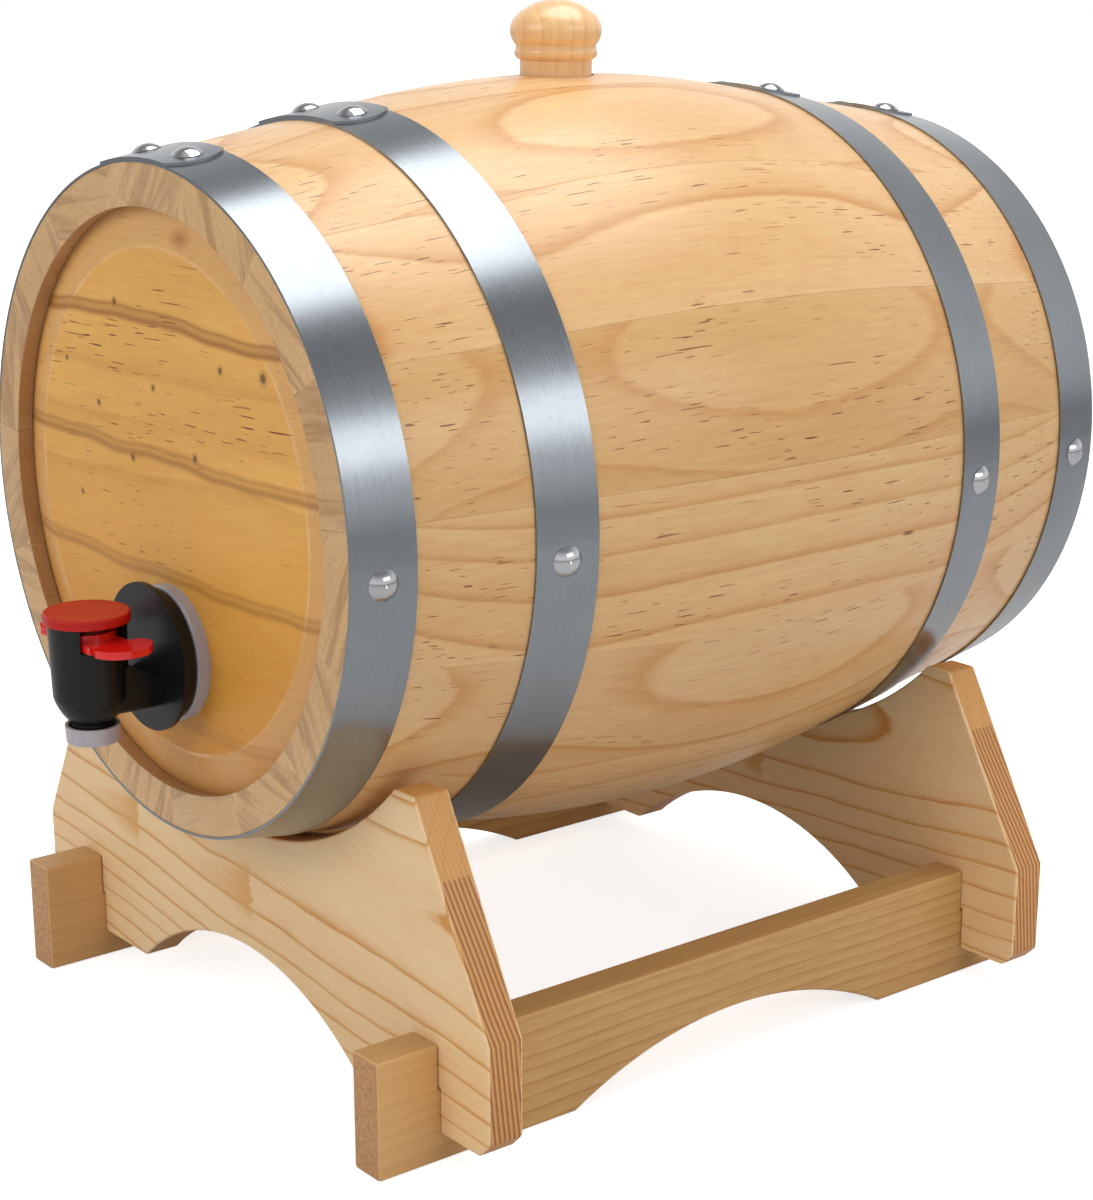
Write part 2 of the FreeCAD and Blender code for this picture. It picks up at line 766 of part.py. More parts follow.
def wing_plate(side):
    """One finger wing: a neck through its window that widens to a rounded paddle."""
    start = barrel_top_diameter / 2 + wing_gap
    half = wing_width / 2
    neck_half = window_width / 2 - wing_neck_clearance
    neck = block(
        (0, -neck_half, wing_underside),
        (start + wing_gap, neck_half, wing_underside + wing_thickness))
    low = wing_offset - half
    high = wing_offset + half
    shoulder = start + wing_shoulder
    corner_x = shoulder + (wing_reach - shoulder) * math.sqrt(0.5)
    corner_y = half * math.sqrt(0.5)
    points = [
        Vector(start, low + wing_root_taper, wing_underside),
        Vector(start, high - wing_root_taper, wing_underside),
        Vector(shoulder, high, wing_underside),
        Vector(wing_reach, wing_offset, wing_underside),
        Vector(shoulder, low, wing_underside),
    ]
    edges = [
        Part.LineSegment(points[0], points[1]).toShape(),
        Part.LineSegment(points[1], points[2]).toShape(),
        Part.Arc(points[2], Vector(corner_x, wing_offset + corner_y, wing_underside), points[3]).toShape(),
        Part.Arc(points[3], Vector(corner_x, wing_offset - corner_y, wing_underside), points[4]).toShape(),
        Part.LineSegment(points[4], points[0]).toShape(),
    ]
    paddle = face_from(edges).extrude(Vector(0, 0, wing_thickness))
    plate = neck.fuse(paddle)
    if side < 0:
        plate = plate.mirror(Vector(0, 0, 0), Vector(1, 0, 0))
    return plate


def make_tap_lever():
    """Red lever: a guided piston, a cup for the dome, a stem for the plug and two wings."""
    guide = barrel_bore / 2 - lever_guide_clearance
    stem = lever_stem_diameter / 2
    guide_top = window_sill - plug_lift
    hub_rim = lid_underside - lever_travel - lever_hub_gap
    core = turned([
        (0, lever_stem_foot),
        (stem, lever_stem_foot),
        (stem, lever_guide_foot),
        (guide, lever_guide_foot),
        (guide, guide_top),
        (lever_hub_radius, guide_top),
        (lever_hub_radius, hub_rim),
        (lever_cup_radius, hub_rim),
        (lever_cup_radius, lever_hub_floor),
        (0, lever_hub_floor),
    ])
    cup_space = Part.makeCylinder(lever_cup_radius, hub_rim, Vector(0, 0, lever_hub_floor))
    lever = core.fuse([wing_plate(1), wing_plate(-1)]).cut(cup_space).removeSplitter()
    save(lever.Solids[0], "tap_lever", tap_origin + barrel_axis)


def make_valve_plug():
    """Soft cone on the stem's end that closes the valve's seat."""
    socket = lever_stem_diameter / 2 + plug_socket_clearance
    outer = valve_seat_diameter / 2 - plug_side_clearance
    seat_line = valve_seat_height - valve_seat_diameter / 2 + plug_lift
    tip = nozzle_bore / 2 - plug_lift / 2
    foot = seat_line + tip
    plug = turned([
        (0, foot),
        (tip, foot),
        (outer, seat_line + outer),
        (outer, foot + plug_height - plug_top_chamfer),
        (outer - plug_top_chamfer, foot + plug_height),
        (socket, foot + plug_height),
        (socket, lever_stem_foot - plug_socket_clearance),
        (0, lever_stem_foot - plug_socket_clearance),
    ])
    save(plug, "valve_plug", tap_origin + barrel_axis)


def make_return_dome():
    """Elastic cone between the lever's cup and the lid that pushes the lever down."""
    foot = lever_hub_floor + dome_clearance
    top = lid_underside - dome_clearance
    outer = lever_cup_radius - dome_side_clearance
    crown = dome_top_diameter / 2
    dome = turned([
        (outer - dome_wall, foot),
        (outer, foot),
        (outer, foot + dome_wall),
        (crown, top),
        (crown - dome_wall, top),
        (outer - dome_wall, foot + dome_wall),
    ])
    save(dome, "return_dome", tap_origin + barrel_axis)


def make_spout_cap():
    """Clear dust cap round the nozzle, with a short plug inside the nozzle's bore."""
    inside = nozzle_diameter / 2 + cap_side_gap
    foot = nozzle_end - cap_clearance - cap_wall
    floor = foot + cap_wall
    plug = nozzle_bore / 2 - cap_clearance
    cap = turned([
        (0, foot),
        (inside + cap_wall, foot),
        (inside + cap_wall + cap_flare, foot + cap_height),
        (inside + cap_flare, foot + cap_height),
        (inside, floor),
        (plug, floor),
        (plug, floor + cap_plug_height),
        (plug - cap_wall, floor + cap_plug_height),
        (plug - cap_wall, floor),
        (0, floor),
    ])
    save(cap, "spout_cap", tap_origin + barrel_axis)


def cradle_board(rest_radius):
    """A cradle board: horns, seat, sloped sides, feet and arch, slotted for the rails."""
    half = cradle_width / 2
    seat_low = cask_axis_height - rest_radius - cradle_seat_clearance
    seat_centre = seat_low + cradle_seat_radius
    horn_top = seat_low + horn_rise
    horn_inner = math.sqrt(cradle_seat_radius ** 2 - (seat_centre - horn_top) ** 2)
    horn_outer = horn_inner + horn_width
    arch_half = math.sqrt(
        cradle_arch_radius ** 2 - (cradle_arch_radius - cradle_arch_height + cradle_foot_height) ** 2)
    right = [
        Vector(horn_inner, 0, horn_top),
        Vector(horn_outer, 0, horn_top),
        Vector(half, 0, cradle_knee_height),
        Vector(half, 0, cradle_foot_height + foot_chamfer),
        Vector(half - foot_chamfer, 0, cradle_foot_height),
        Vector(arch_half, 0, cradle_foot_height),
    ]
    left = [Vector(-point.x, 0, point.z) for point in right]
    edges = [Part.LineSegment(a, b).toShape() for a, b in zip(right, right[1:])]
    edges += [Part.LineSegment(a, b).toShape() for a, b in zip(left, left[1:])]
    edges.append(Part.Arc(left[0], Vector(0, 0, seat_low), right[0]).toShape())
    edges.append(Part.Arc(left[-1], Vector(0, 0, cradle_arch_height), right[-1]).toShape())
    board = face_from(edges).extrude(Vector(0, board_thickness, 0))
    slot_half = board_thickness / 2 + lap_clearance
    slots = []
    for centre in (-rail_spacing / 2, rail_spacing / 2):
        low = (centre - slot_half, -cut_through, 0)
        slots.append(block(low, (centre + slot_half, board_thickness + cut_through, lap_height)))
    return board.cut(slots)


def rail_board():
    """A rail on the floor: arched below, slotted from above for the cradle boards."""
    half = rail_length / 2
    chord = math.sqrt(rail_arch_radius ** 2 - (rail_arch_radius - rail_arch_height) ** 2)
    corners = [
        Vector(0, chord, 0),
        Vector(0, half, 0),
        Vector(0, half, rail_height),
        Vector(0, -half, rail_height),
        Vector(0, -half, 0),
        Vector(0, -chord, 0),
    ]
    edges = [Part.LineSegment(a, b).toShape() for a, b in zip(corners, corners[1:])]
    edges.append(Part.Arc(corners[-1], Vector(0, 0, rail_arch_height), corners[0]).toShape())
    rail = face_from(edges).extrude(Vector(board_thickness, 0, 0))
    rail.translate(Vector(-board_thickness / 2, 0, 0))
    slot_half = board_thickness / 2 + lap_clearance
    slots = []
    for centre in (-cradle_spacing / 2, cradle_spacing / 2):
        low = (-board_thickness, centre - slot_half, lap_height)
        slots.append(block(low, (board_thickness, centre + slot_half, rail_height + cut_through)))
    return rail.cut(slots)


def resting_radius(near, far):
    """Largest radius of the hooped cask between two places along its axis."""
    widest = 0.0
    for place in (near, far):
        widest = max(widest, cask_outside(place))
    for centre in hoop_centres:
        for edge in (centre - hoop_width / 2, centre + hoop_width / 2):
            if min(near, far) < edge < max(near, far):
                touched = min(abs(near), abs(far))
                widest = max(widest, cask_outside(touched) + hoop_thickness)
    return widest


def make_stand():
    """Front and rear cradles cut to the cask that they carry, and two rails."""
    for name, side in (("front_cradle", -1), ("rear_cradle", 1)):
        centre = side * cradle_spacing / 2
        near = centre - board_thickness / 2 - cask_setback
        far = centre + board_thickness / 2 - cask_setback
        board = cradle_board(resting_radius(near, far))
        save(board, name, Vector(0, stand_centre + centre - board_thickness / 2, 0))
    for name, side in (("left_rail", -1), ("right_rail", 1)):
        save(rail_board(), name, Vector(side * rail_spacing / 2, stand_centre, 0))


make_staves()
make_heads()
make_hoops()
make_bung()
make_filler_neck()
make_liner()
make_gland()
make_tap_body()
make_tap_lid()
make_tap_lever()
make_valve_plug()
make_return_dome()
make_spout_cap()
make_stand()
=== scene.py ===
import json
import math

import bpy
from mathutils import Vector
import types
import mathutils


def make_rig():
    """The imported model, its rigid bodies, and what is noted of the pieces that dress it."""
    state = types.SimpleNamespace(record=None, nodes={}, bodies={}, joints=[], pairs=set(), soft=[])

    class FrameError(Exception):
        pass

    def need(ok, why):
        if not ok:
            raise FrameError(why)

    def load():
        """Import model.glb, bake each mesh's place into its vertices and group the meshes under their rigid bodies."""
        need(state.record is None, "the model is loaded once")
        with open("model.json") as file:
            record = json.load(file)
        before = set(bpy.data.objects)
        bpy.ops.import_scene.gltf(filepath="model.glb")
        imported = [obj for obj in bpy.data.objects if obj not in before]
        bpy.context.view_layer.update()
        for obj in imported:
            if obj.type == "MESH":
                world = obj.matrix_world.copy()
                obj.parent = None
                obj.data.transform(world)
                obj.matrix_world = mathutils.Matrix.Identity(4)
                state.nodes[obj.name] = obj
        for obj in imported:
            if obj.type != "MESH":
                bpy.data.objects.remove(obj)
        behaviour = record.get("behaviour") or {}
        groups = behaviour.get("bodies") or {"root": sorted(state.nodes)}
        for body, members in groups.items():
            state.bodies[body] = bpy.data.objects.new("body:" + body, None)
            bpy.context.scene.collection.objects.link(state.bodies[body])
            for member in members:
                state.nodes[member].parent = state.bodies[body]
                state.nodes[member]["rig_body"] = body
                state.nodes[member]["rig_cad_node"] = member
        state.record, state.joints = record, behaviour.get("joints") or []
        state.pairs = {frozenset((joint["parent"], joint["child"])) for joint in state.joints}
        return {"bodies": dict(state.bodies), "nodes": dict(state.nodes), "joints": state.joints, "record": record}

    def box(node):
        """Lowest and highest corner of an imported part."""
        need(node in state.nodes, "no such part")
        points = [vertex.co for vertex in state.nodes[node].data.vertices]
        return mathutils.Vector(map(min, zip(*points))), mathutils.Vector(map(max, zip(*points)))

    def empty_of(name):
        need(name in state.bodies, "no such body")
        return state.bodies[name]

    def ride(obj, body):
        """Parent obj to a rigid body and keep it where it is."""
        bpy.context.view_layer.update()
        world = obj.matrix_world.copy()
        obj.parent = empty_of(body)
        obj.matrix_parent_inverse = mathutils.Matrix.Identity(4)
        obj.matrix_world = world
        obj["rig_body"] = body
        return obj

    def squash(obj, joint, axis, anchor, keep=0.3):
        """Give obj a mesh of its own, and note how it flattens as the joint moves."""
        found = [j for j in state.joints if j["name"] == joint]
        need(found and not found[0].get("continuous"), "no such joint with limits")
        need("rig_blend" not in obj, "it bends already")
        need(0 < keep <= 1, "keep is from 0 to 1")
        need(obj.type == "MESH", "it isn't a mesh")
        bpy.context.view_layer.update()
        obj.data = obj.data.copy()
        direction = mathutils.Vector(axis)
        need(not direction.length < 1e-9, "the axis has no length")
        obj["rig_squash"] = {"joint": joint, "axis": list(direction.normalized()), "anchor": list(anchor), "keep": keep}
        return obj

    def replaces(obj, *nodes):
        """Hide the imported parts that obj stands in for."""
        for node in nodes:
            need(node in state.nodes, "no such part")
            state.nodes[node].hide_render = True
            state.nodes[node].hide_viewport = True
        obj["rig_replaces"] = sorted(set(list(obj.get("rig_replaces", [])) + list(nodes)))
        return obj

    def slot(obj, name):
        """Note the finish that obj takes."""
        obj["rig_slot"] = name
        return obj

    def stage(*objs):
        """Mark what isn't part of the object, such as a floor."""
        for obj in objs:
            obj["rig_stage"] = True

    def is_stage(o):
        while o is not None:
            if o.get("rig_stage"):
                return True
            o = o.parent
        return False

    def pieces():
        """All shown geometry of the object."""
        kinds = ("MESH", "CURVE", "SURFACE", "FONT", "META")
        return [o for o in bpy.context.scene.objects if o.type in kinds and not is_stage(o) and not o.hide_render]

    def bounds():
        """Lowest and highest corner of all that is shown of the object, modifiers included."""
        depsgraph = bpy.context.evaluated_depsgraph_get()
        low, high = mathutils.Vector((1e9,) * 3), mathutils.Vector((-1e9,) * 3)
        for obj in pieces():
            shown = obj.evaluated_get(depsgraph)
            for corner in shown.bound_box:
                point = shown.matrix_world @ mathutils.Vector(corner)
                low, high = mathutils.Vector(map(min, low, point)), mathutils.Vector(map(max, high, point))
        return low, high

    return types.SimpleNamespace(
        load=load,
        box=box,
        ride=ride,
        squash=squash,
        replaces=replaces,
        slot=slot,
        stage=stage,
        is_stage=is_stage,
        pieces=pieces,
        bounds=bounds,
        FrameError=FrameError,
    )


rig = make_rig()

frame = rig.load()
cad_low, cad_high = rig.bounds()
node = frame["nodes"]

# Staves: fifteen bowed pine planks, sawn straight and bent, then turned to one smooth bulge.
# That cuts the growth rings in long closed loops on the belly. They are glued edge to edge
# and lacquered, and their sawn ends show browner wood round a groove that holds the head.
MILLIMETRE = 0.001
STAVE_LOW, STAVE_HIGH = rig.box("bung_stave")
HOOP_LOW, HOOP_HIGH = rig.box("rear_head_hoop")
CASK_MIDDLE = (STAVE_LOW.y + STAVE_HIGH.y) / 2
AXIS_HEIGHT = HOOP_LOW.z + (HOOP_HIGH.x - HOOP_LOW.x) / 2
BELLY_RADIUS = 0.124
GROOVE_RADIUS = 0.0936
GROOVE_FADE = 0.0016
STAVE_COUNT = 15
STAVE_PALE = (0.80, 0.510, 0.240)
STAVE_LINE = (0.60, 0.255, 0.055)
WARM_LOSS = (0.0, 0.35, 1.4)
CHIME_WOOD = (0.66, 0.395, 0.160)
CHIME_STRIPE = (0.315, 0.145, 0.042)
GROOVE_STAIN_AND_SHADE = (0.33, 0.155, 0.052)
RUBBED_WOOD = (0.86, 0.62, 0.36)
RESIN = (0.25, 0.070, 0.014)
GRAIN_ALONG_Y = (0.0, 0.0, math.radians(90))
RAMP_REACH = 0.2
SEED_STEPS = (1.37, 2.11)
RING_SHAPE = [(0.0, 0.0), (0.25, 0.06), (0.72, 0.36), (0.90, 1.0), (0.965, 0.0)]
RING_LINE = 0.93
FAINT = [(0.30, 0.30), (0.70, 0.70)]
SQUARE_ON = [(0.80, 0.0), (0.95, 1.0)]


def colour(rgb):
    return (*rgb, 1.0)


class NodeNet:
    """Adds nodes to one tree and joins them, so that a finish reads from top to bottom."""

    def __init__(self, tree):
        self.tree = tree

    def join(self, source, target):
        if isinstance(source, bpy.types.NodeSocket):
            self.tree.links.new(source, target)
        else:
            target.default_value = source

    def add(self, kind, links=None, **settings):
        made = self.tree.nodes.new(kind)
        for name, value in settings.items():
            setattr(made, name, value)
        for socket, source in (links or {}).items():
            self.join(source, made.inputs[socket])
        return made

    def math(self, operation, first, second=0.0, clamp=False):
        made = self.add("ShaderNodeMath", {0: first, 1: second}, operation=operation, use_clamp=clamp)
        return made.outputs[0]

    def radius(self, first, second):
        """The length of the slanting line over two distances at right angles."""
        squares = self.math("ADD", self.math("MULTIPLY", first, first), self.math("MULTIPLY", second, second))
        return self.math("SQRT", squares)

    def vector(self, operation, first, second=(0.0, 0.0, 0.0)):
        made = self.add("ShaderNodeVectorMath", {0: first, 1: second}, operation=operation)
        return made.outputs[1 if operation == "LENGTH" else 0]

    def split(self, vector):
        return self.add("ShaderNodeSeparateXYZ", {0: vector}).outputs

    def noise(self, vector, scale, detail):
        made = self.add("ShaderNodeTexNoise", {"Vector": vector, "Scale": scale, "Detail": detail})
        return made.outputs[0]

    def mix(self, factor, first, second, blend="MIX"):
        """Mixes two colours: sockets 6 and 7 of a Mix node are its colours, and output 2 is theirs."""
        made = self.add("ShaderNodeMix", data_type="RGBA", blend_type=blend)
        for index, source in ((0, factor), (6, first), (7, second)):
            self.join(source, made.inputs[index])
        return made.outputs[2]

    def grey(self, source, stops):
        """A ramp of plain values: stops are (place, value)."""
        made = self.add("ShaderNodeValToRGB", {0: source})
        elements = made.color_ramp.elements
        while len(elements) < len(stops):
            elements.new(1.0)
        for element, (place, value) in zip(elements, stops):
            element.position = place
            element.color = (value, value, value, 1)
        return made.outputs[0]

    def over(self, distance, stops):
        """A ramp of plain values over a distance up to RAMP_REACH: stops are (metres, value)."""
        share = self.math("MULTIPLY", distance, 1 / RAMP_REACH)
        return self.grey(share, [(far / RAMP_REACH, value) for far, value in stops])


def new_group(name, inputs, outputs):
    group = bpy.data.node_groups.new(name, "ShaderNodeTree")
    for label, kind, value in inputs:
        socket = group.interface.new_socket(name=label, in_out="INPUT", socket_type=kind)
        if value is not None:
            socket.default_value = value
    for label, kind in outputs:
        group.interface.new_socket(name=label, in_out="OUTPUT", socket_type=kind)
    net = NodeNet(group)
    return group, net, net.add("NodeGroupInput").outputs, net.add("NodeGroupOutput").inputs


def make_grain_group():
    """Solid pine: growth rings round a heart that runs along X, with fibres and resin dashes."""
    inputs = [
        ("Vector", "NodeSocketVector", None),
        ("Ring Gap", "NodeSocketFloat", 0.005),
        ("Phase", "NodeSocketFloat", 0.0),
        ("Wander", "NodeSocketFloat", 0.002),
        ("Seed", "NodeSocketFloat", 0.0),
        ("Pale", "NodeSocketColor", colour(STAVE_PALE)),
        ("Line", "NodeSocketColor", colour(STAVE_LINE)),
        ("Line Strength", "NodeSocketFloat", 0.6),
        ("Crispness", "NodeSocketFloat", 1.0),
        ("Dashes", "NodeSocketFloat", 0.8),
    ]
    outputs = [("Color", "NodeSocketColor"), ("Height", "NodeSocketFloat"), ("Rings", "NodeSocketFloat")]
    group, net, given, out = new_group("solid pine", inputs, outputs)
    away = net.add("ShaderNodeCombineXYZ", {0: net.math("MULTIPLY", given["Seed"], SEED_STEPS[0])})
    net.join(net.math("MULTIPLY", given["Seed"], SEED_STEPS[1]), away.inputs[1])
    moved = net.vector("ADD", given["Vector"], away.outputs[0])

    def grain_noise(along, across, detail):
        """Noise with so many waves to the metre along and across the grain."""
        return net.noise(net.vector("MULTIPLY", moved, (along, across, across)), 1.0, detail)

    bend = grain_noise(7.0, 15.0, 1.0)
    ripple = grain_noise(26.0, 90.0, 3.0)
    shift = net.math("MULTIPLY", net.math("SUBTRACT", bend, 0.5), given["Wander"])
    small = net.math("MULTIPLY", given["Wander"], 0.22)
    jitter = net.math("MULTIPLY", net.math("SUBTRACT", ripple, 0.5), small)
    place = net.split(given["Vector"])
    depth = net.math("ADD", net.radius(place[1], place[2]), net.math("ADD", shift, jitter))
    ring = net.math("DIVIDE", net.math("ADD", depth, given["Phase"]), given["Ring Gap"])
    late = net.grey(net.math("FRACT", ring), RING_SHAPE)
    each = net.add("ShaderNodeTexWhiteNoise", {"W": net.math("FLOOR", ring)}, noise_dimensions="1D")
    late = net.math("POWER", late, given["Crispness"])
    late = net.math("MULTIPLY", late, net.math("ADD", net.math("MULTIPLY", each.outputs[0], 0.4), 0.6))
    fibre = grain_noise(34.0, 1300.0, 3.0)
    figure = grain_noise(90.0, 520.0, 2.0)
    patch = grain_noise(6.0, 22.0, 2.0)
    canal = net.grey(grain_noise(95.0, 1550.0, 0.0), [(0.0, 0.0), (0.745, 0.0), (0.780, 1.0)])
    crowd = net.grey(grain_noise(12.0, 46.0, 1.0), [(0.0, 0.12), (0.42, 0.12), (0.60, 1.0)])
    canal = net.math("MULTIPLY", net.math("MULTIPLY", canal, crowd), given["Dashes"], clamp=True)
    drawn = net.math("MULTIPLY", late, given["Line Strength"], clamp=True)
    wood = net.mix(drawn, given["Pale"], given["Line"])
    wood = net.mix(net.grey(patch, [(0.38, 0.0), (0.68, 0.22)]), wood, given["Line"])
    wood = net.mix(0.30, wood, net.grey(fibre, [(0.25, 0.36), (0.75, 0.62)]), "OVERLAY")
    wood = net.mix(0.16, wood, net.grey(figure, FAINT), "OVERLAY")
    wood = net.mix(canal, wood, colour(RESIN))
    height = net.math("SUBTRACT", net.math("MULTIPLY", late, 0.4), net.math("MULTIPLY", canal, 0.6))
    net.join(wood, out["Color"])
    net.join(net.math("ADD", height, net.math("MULTIPLY", fibre, 0.5)), out["Height"])
    net.join(late, out["Rings"])
    return group


def make_handling_group():
    """Handling: rubbed edges that come out paler, and smudges that dull the lacquer."""
    inputs = [("Vector", "NodeSocketVector", None)]
    outputs = [("Rubbed", "NodeSocketFloat"), ("Smudge", "NodeSocketFloat")]
    group, net, given, out = new_group("handling", inputs, outputs)
    edge = net.add("ShaderNodeNewGeometry").outputs["Pointiness"]
    net.join(net.grey(edge, [(0.52, 0.0), (0.62, 1.0)]), out["Rubbed"])
    net.join(net.grey(net.noise(given["Vector"], 34.0, 4.0), [(0.35, 0.0), (0.70, 1.0)]), out["Smudge"])
    return group


grain_group = make_grain_group()
handling_group = make_handling_group()


class Finish:
    """One material: its net of nodes, its shader and the places on the object that it reads."""

    def __init__(self, name):
        self.material = bpy.data.materials.new(name)
        self.material.use_nodes = True
        self.net = NodeNet(self.material.node_tree)
        self.shader = self.material.node_tree.nodes["Principled BSDF"]
        coordinates = self.net.add("ShaderNodeTexCoord").outputs
        self.place = coordinates["Object"]
        self.normal = coordinates["Normal"]

    def shade(self, inputs):
        """Gives inputs of the shader their values, or joins them to nodes."""
        for label, source in inputs.items():
            self.net.join(source, self.shader.inputs[label])

    def bump(self, height, strength, distance):
        made = self.net.add("ShaderNodeBump", {"Height": height, "Strength": strength, "Distance": distance})
        self.shade({"Normal": made.outputs[0]})

    def wood(self, heart, turn, source=None, **values):
        """Pine whose log had its heart at one place; turn lays the grain along the board."""
        board = self.net.add("ShaderNodeMapping", {"Vector": source or self.place}, vector_type="TEXTURE")
        board.inputs["Location"].default_value = heart
        board.inputs["Rotation"].default_value = turn
        grain = self.net.add("ShaderNodeGroup", node_tree=grain_group)
        self.net.join(board.outputs[0], grain.inputs["Vector"])
        for label, value in values.items():
            self.net.join(value, grain.inputs[label.replace("_", " ").title()])
        self.grain = grain.outputs
        self.handling = self.net.add("ShaderNodeGroup", {0: self.place}, node_tree=handling_group).outputs
        return grain.outputs["Color"]

    def lacquer(self, wood, rough, coat, rubbing=0.0):
        """Joins the wood's colour, its clear lacquer and its raised grain to the shader."""
        net = self.net
        if rubbing:
            rubbed = net.math("MULTIPLY", self.handling["Rubbed"], rubbing)
            wood = net.mix(rubbed, wood, colour(RUBBED_WOOD))
        dull = net.math("ADD", net.math("MULTIPLY", self.handling["Smudge"], 0.10), rough)
        dull = net.math("ADD", dull, net.math("MULTIPLY", self.grain["Rings"], 0.05))
        self.shade({"Base Color": wood, "Roughness": dull, "Specular IOR Level": 0.35})
        self.shade({"Coat Weight": coat, "Coat Roughness": 0.24})
        self.bump(self.grain["Height"], strength=0.20, distance=0.00015)
        return self.material


def dress(target, material):
    """Gives a piece or a CAD node one material all over."""
    if not target.material_slots:
        target.data.materials.append(material)
    for held in target.material_slots:
        held.material = material


def eased(label, width, segments=2, angle=30.0):
    """A merged copy of a CAD node with its sharp edges eased, to stand for the node."""
    merge_gap = 0.01 * MILLIMETRE
    flat_angle = math.radians(0.6)
    smooth_angle = math.radians(40)
    bpy.ops.object.select_all(action="DESELECT")
    source = node[label]
    source.select_set(True)
    bpy.context.view_layer.objects.active = source
    bpy.ops.object.duplicate()
    piece = bpy.context.object
    piece.name = label + "_eased"
    inherited = [key for key in piece.keys() if key.startswith("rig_")]
    for key in inherited:
        del piece[key]
    piece.parent = None
    bpy.ops.object.mode_set(mode="EDIT")
    bpy.ops.mesh.select_all(action="SELECT")
    bpy.ops.mesh.remove_doubles(threshold=merge_gap)
    bpy.ops.mesh.dissolve_limited(angle_limit=flat_angle)
    bpy.ops.mesh.select_all(action="DESELECT")
    bpy.ops.object.mode_set(mode="OBJECT")
    rounding = piece.modifiers.new("eased", "BEVEL")
    rounding.width = width
    rounding.segments = segments
    rounding.limit_method = "ANGLE"
    rounding.angle_limit = math.radians(angle)
    bpy.ops.object.modifier_apply(modifier="eased")
    bpy.ops.object.shade_smooth_by_angle(angle=smooth_angle)
    even = piece.modifiers.new("even", "WEIGHTED_NORMAL")
    even.keep_sharp = True
    bpy.ops.object.modifier_apply(modifier="even")
    return piece


def stand_for(piece, label, slot, body):
    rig.replaces(piece, label)
    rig.slot(piece, slot)
    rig.ride(piece, body)


def straightened(finish, bow):
    """Undoes most of a stave's bow, because the plank was bent and its grain went with it."""
    net = finish.net
    near_axis = 0.01
    centred = net.vector("SUBTRACT", finish.place, (0.0, CASK_MIDDLE, AXIS_HEIGHT))
    place = net.split(centred)
    along = net.math("MULTIPLY", place[1], place[1])
    out = net.radius(place[0], place[2])
    lost = net.math("DIVIDE", net.math("MULTIPLY", along, bow), net.math("MAXIMUM", out, near_axis))
    grow = net.math("ADD", 1.0, lost)
    scale = net.add("ShaderNodeCombineXYZ", {0: grow, 1: 1.0, 2: grow}).outputs[0]
    return net.vector("MULTIPLY", centred, scale), out


# For each stave from the bung round: how far its loops sit off its middle (degrees), its
# first ring's depth and its ring gap (millimetres), the bow that is undone (metres of radius
# to the square metre along the cask), its tone and its warmth.
STAVE_LOGS = (
    (6.0, 0.9, 2.9, 0.90, 1.03, 0.00),
    (-7.0, 1.5, 3.4, 0.93, 1.00, 0.06),
    (5.0, 0.6, 2.6, 0.95, 0.97, 0.02),
    (-3.0, 1.9, 3.8, 0.92, 1.02, 0.05),
    (8.0, 1.1, 3.0, 0.94, 0.94, 0.03),
    (-6.0, 0.8, 2.4, 0.91, 1.00, 0.00),
    (3.0, 1.4, 3.3, 0.93, 0.97, 0.08),
    (-9.0, 0.7, 2.8, 0.95, 1.02, 0.04),
    (4.0, 1.2, 3.5, 0.91, 0.96, 0.02),
    (-5.0, 1.6, 2.7, 0.94, 1.00, 0.06),
    (7.0, 0.9, 3.1, 0.93, 0.95, 0.00),
    (-30.0, 1.6, 4.6, 0.99, 0.99, 0.05),
    (7.0, 1.25, 3.2, 0.94, 0.92, 0.14),
    (-8.0, 2.2, 3.7, 0.97, 1.04, 0.02),
    (2.0, 1.0, 2.9, 0.90, 1.03, 0.04),
)
HEART_DEPTH = 0.40
SAWN_SLANTS = (55.0, -20.0, 80.0, 15.0, -50.0)
STRIPE_SIZE = (0.0055, 0.2, 0.050)


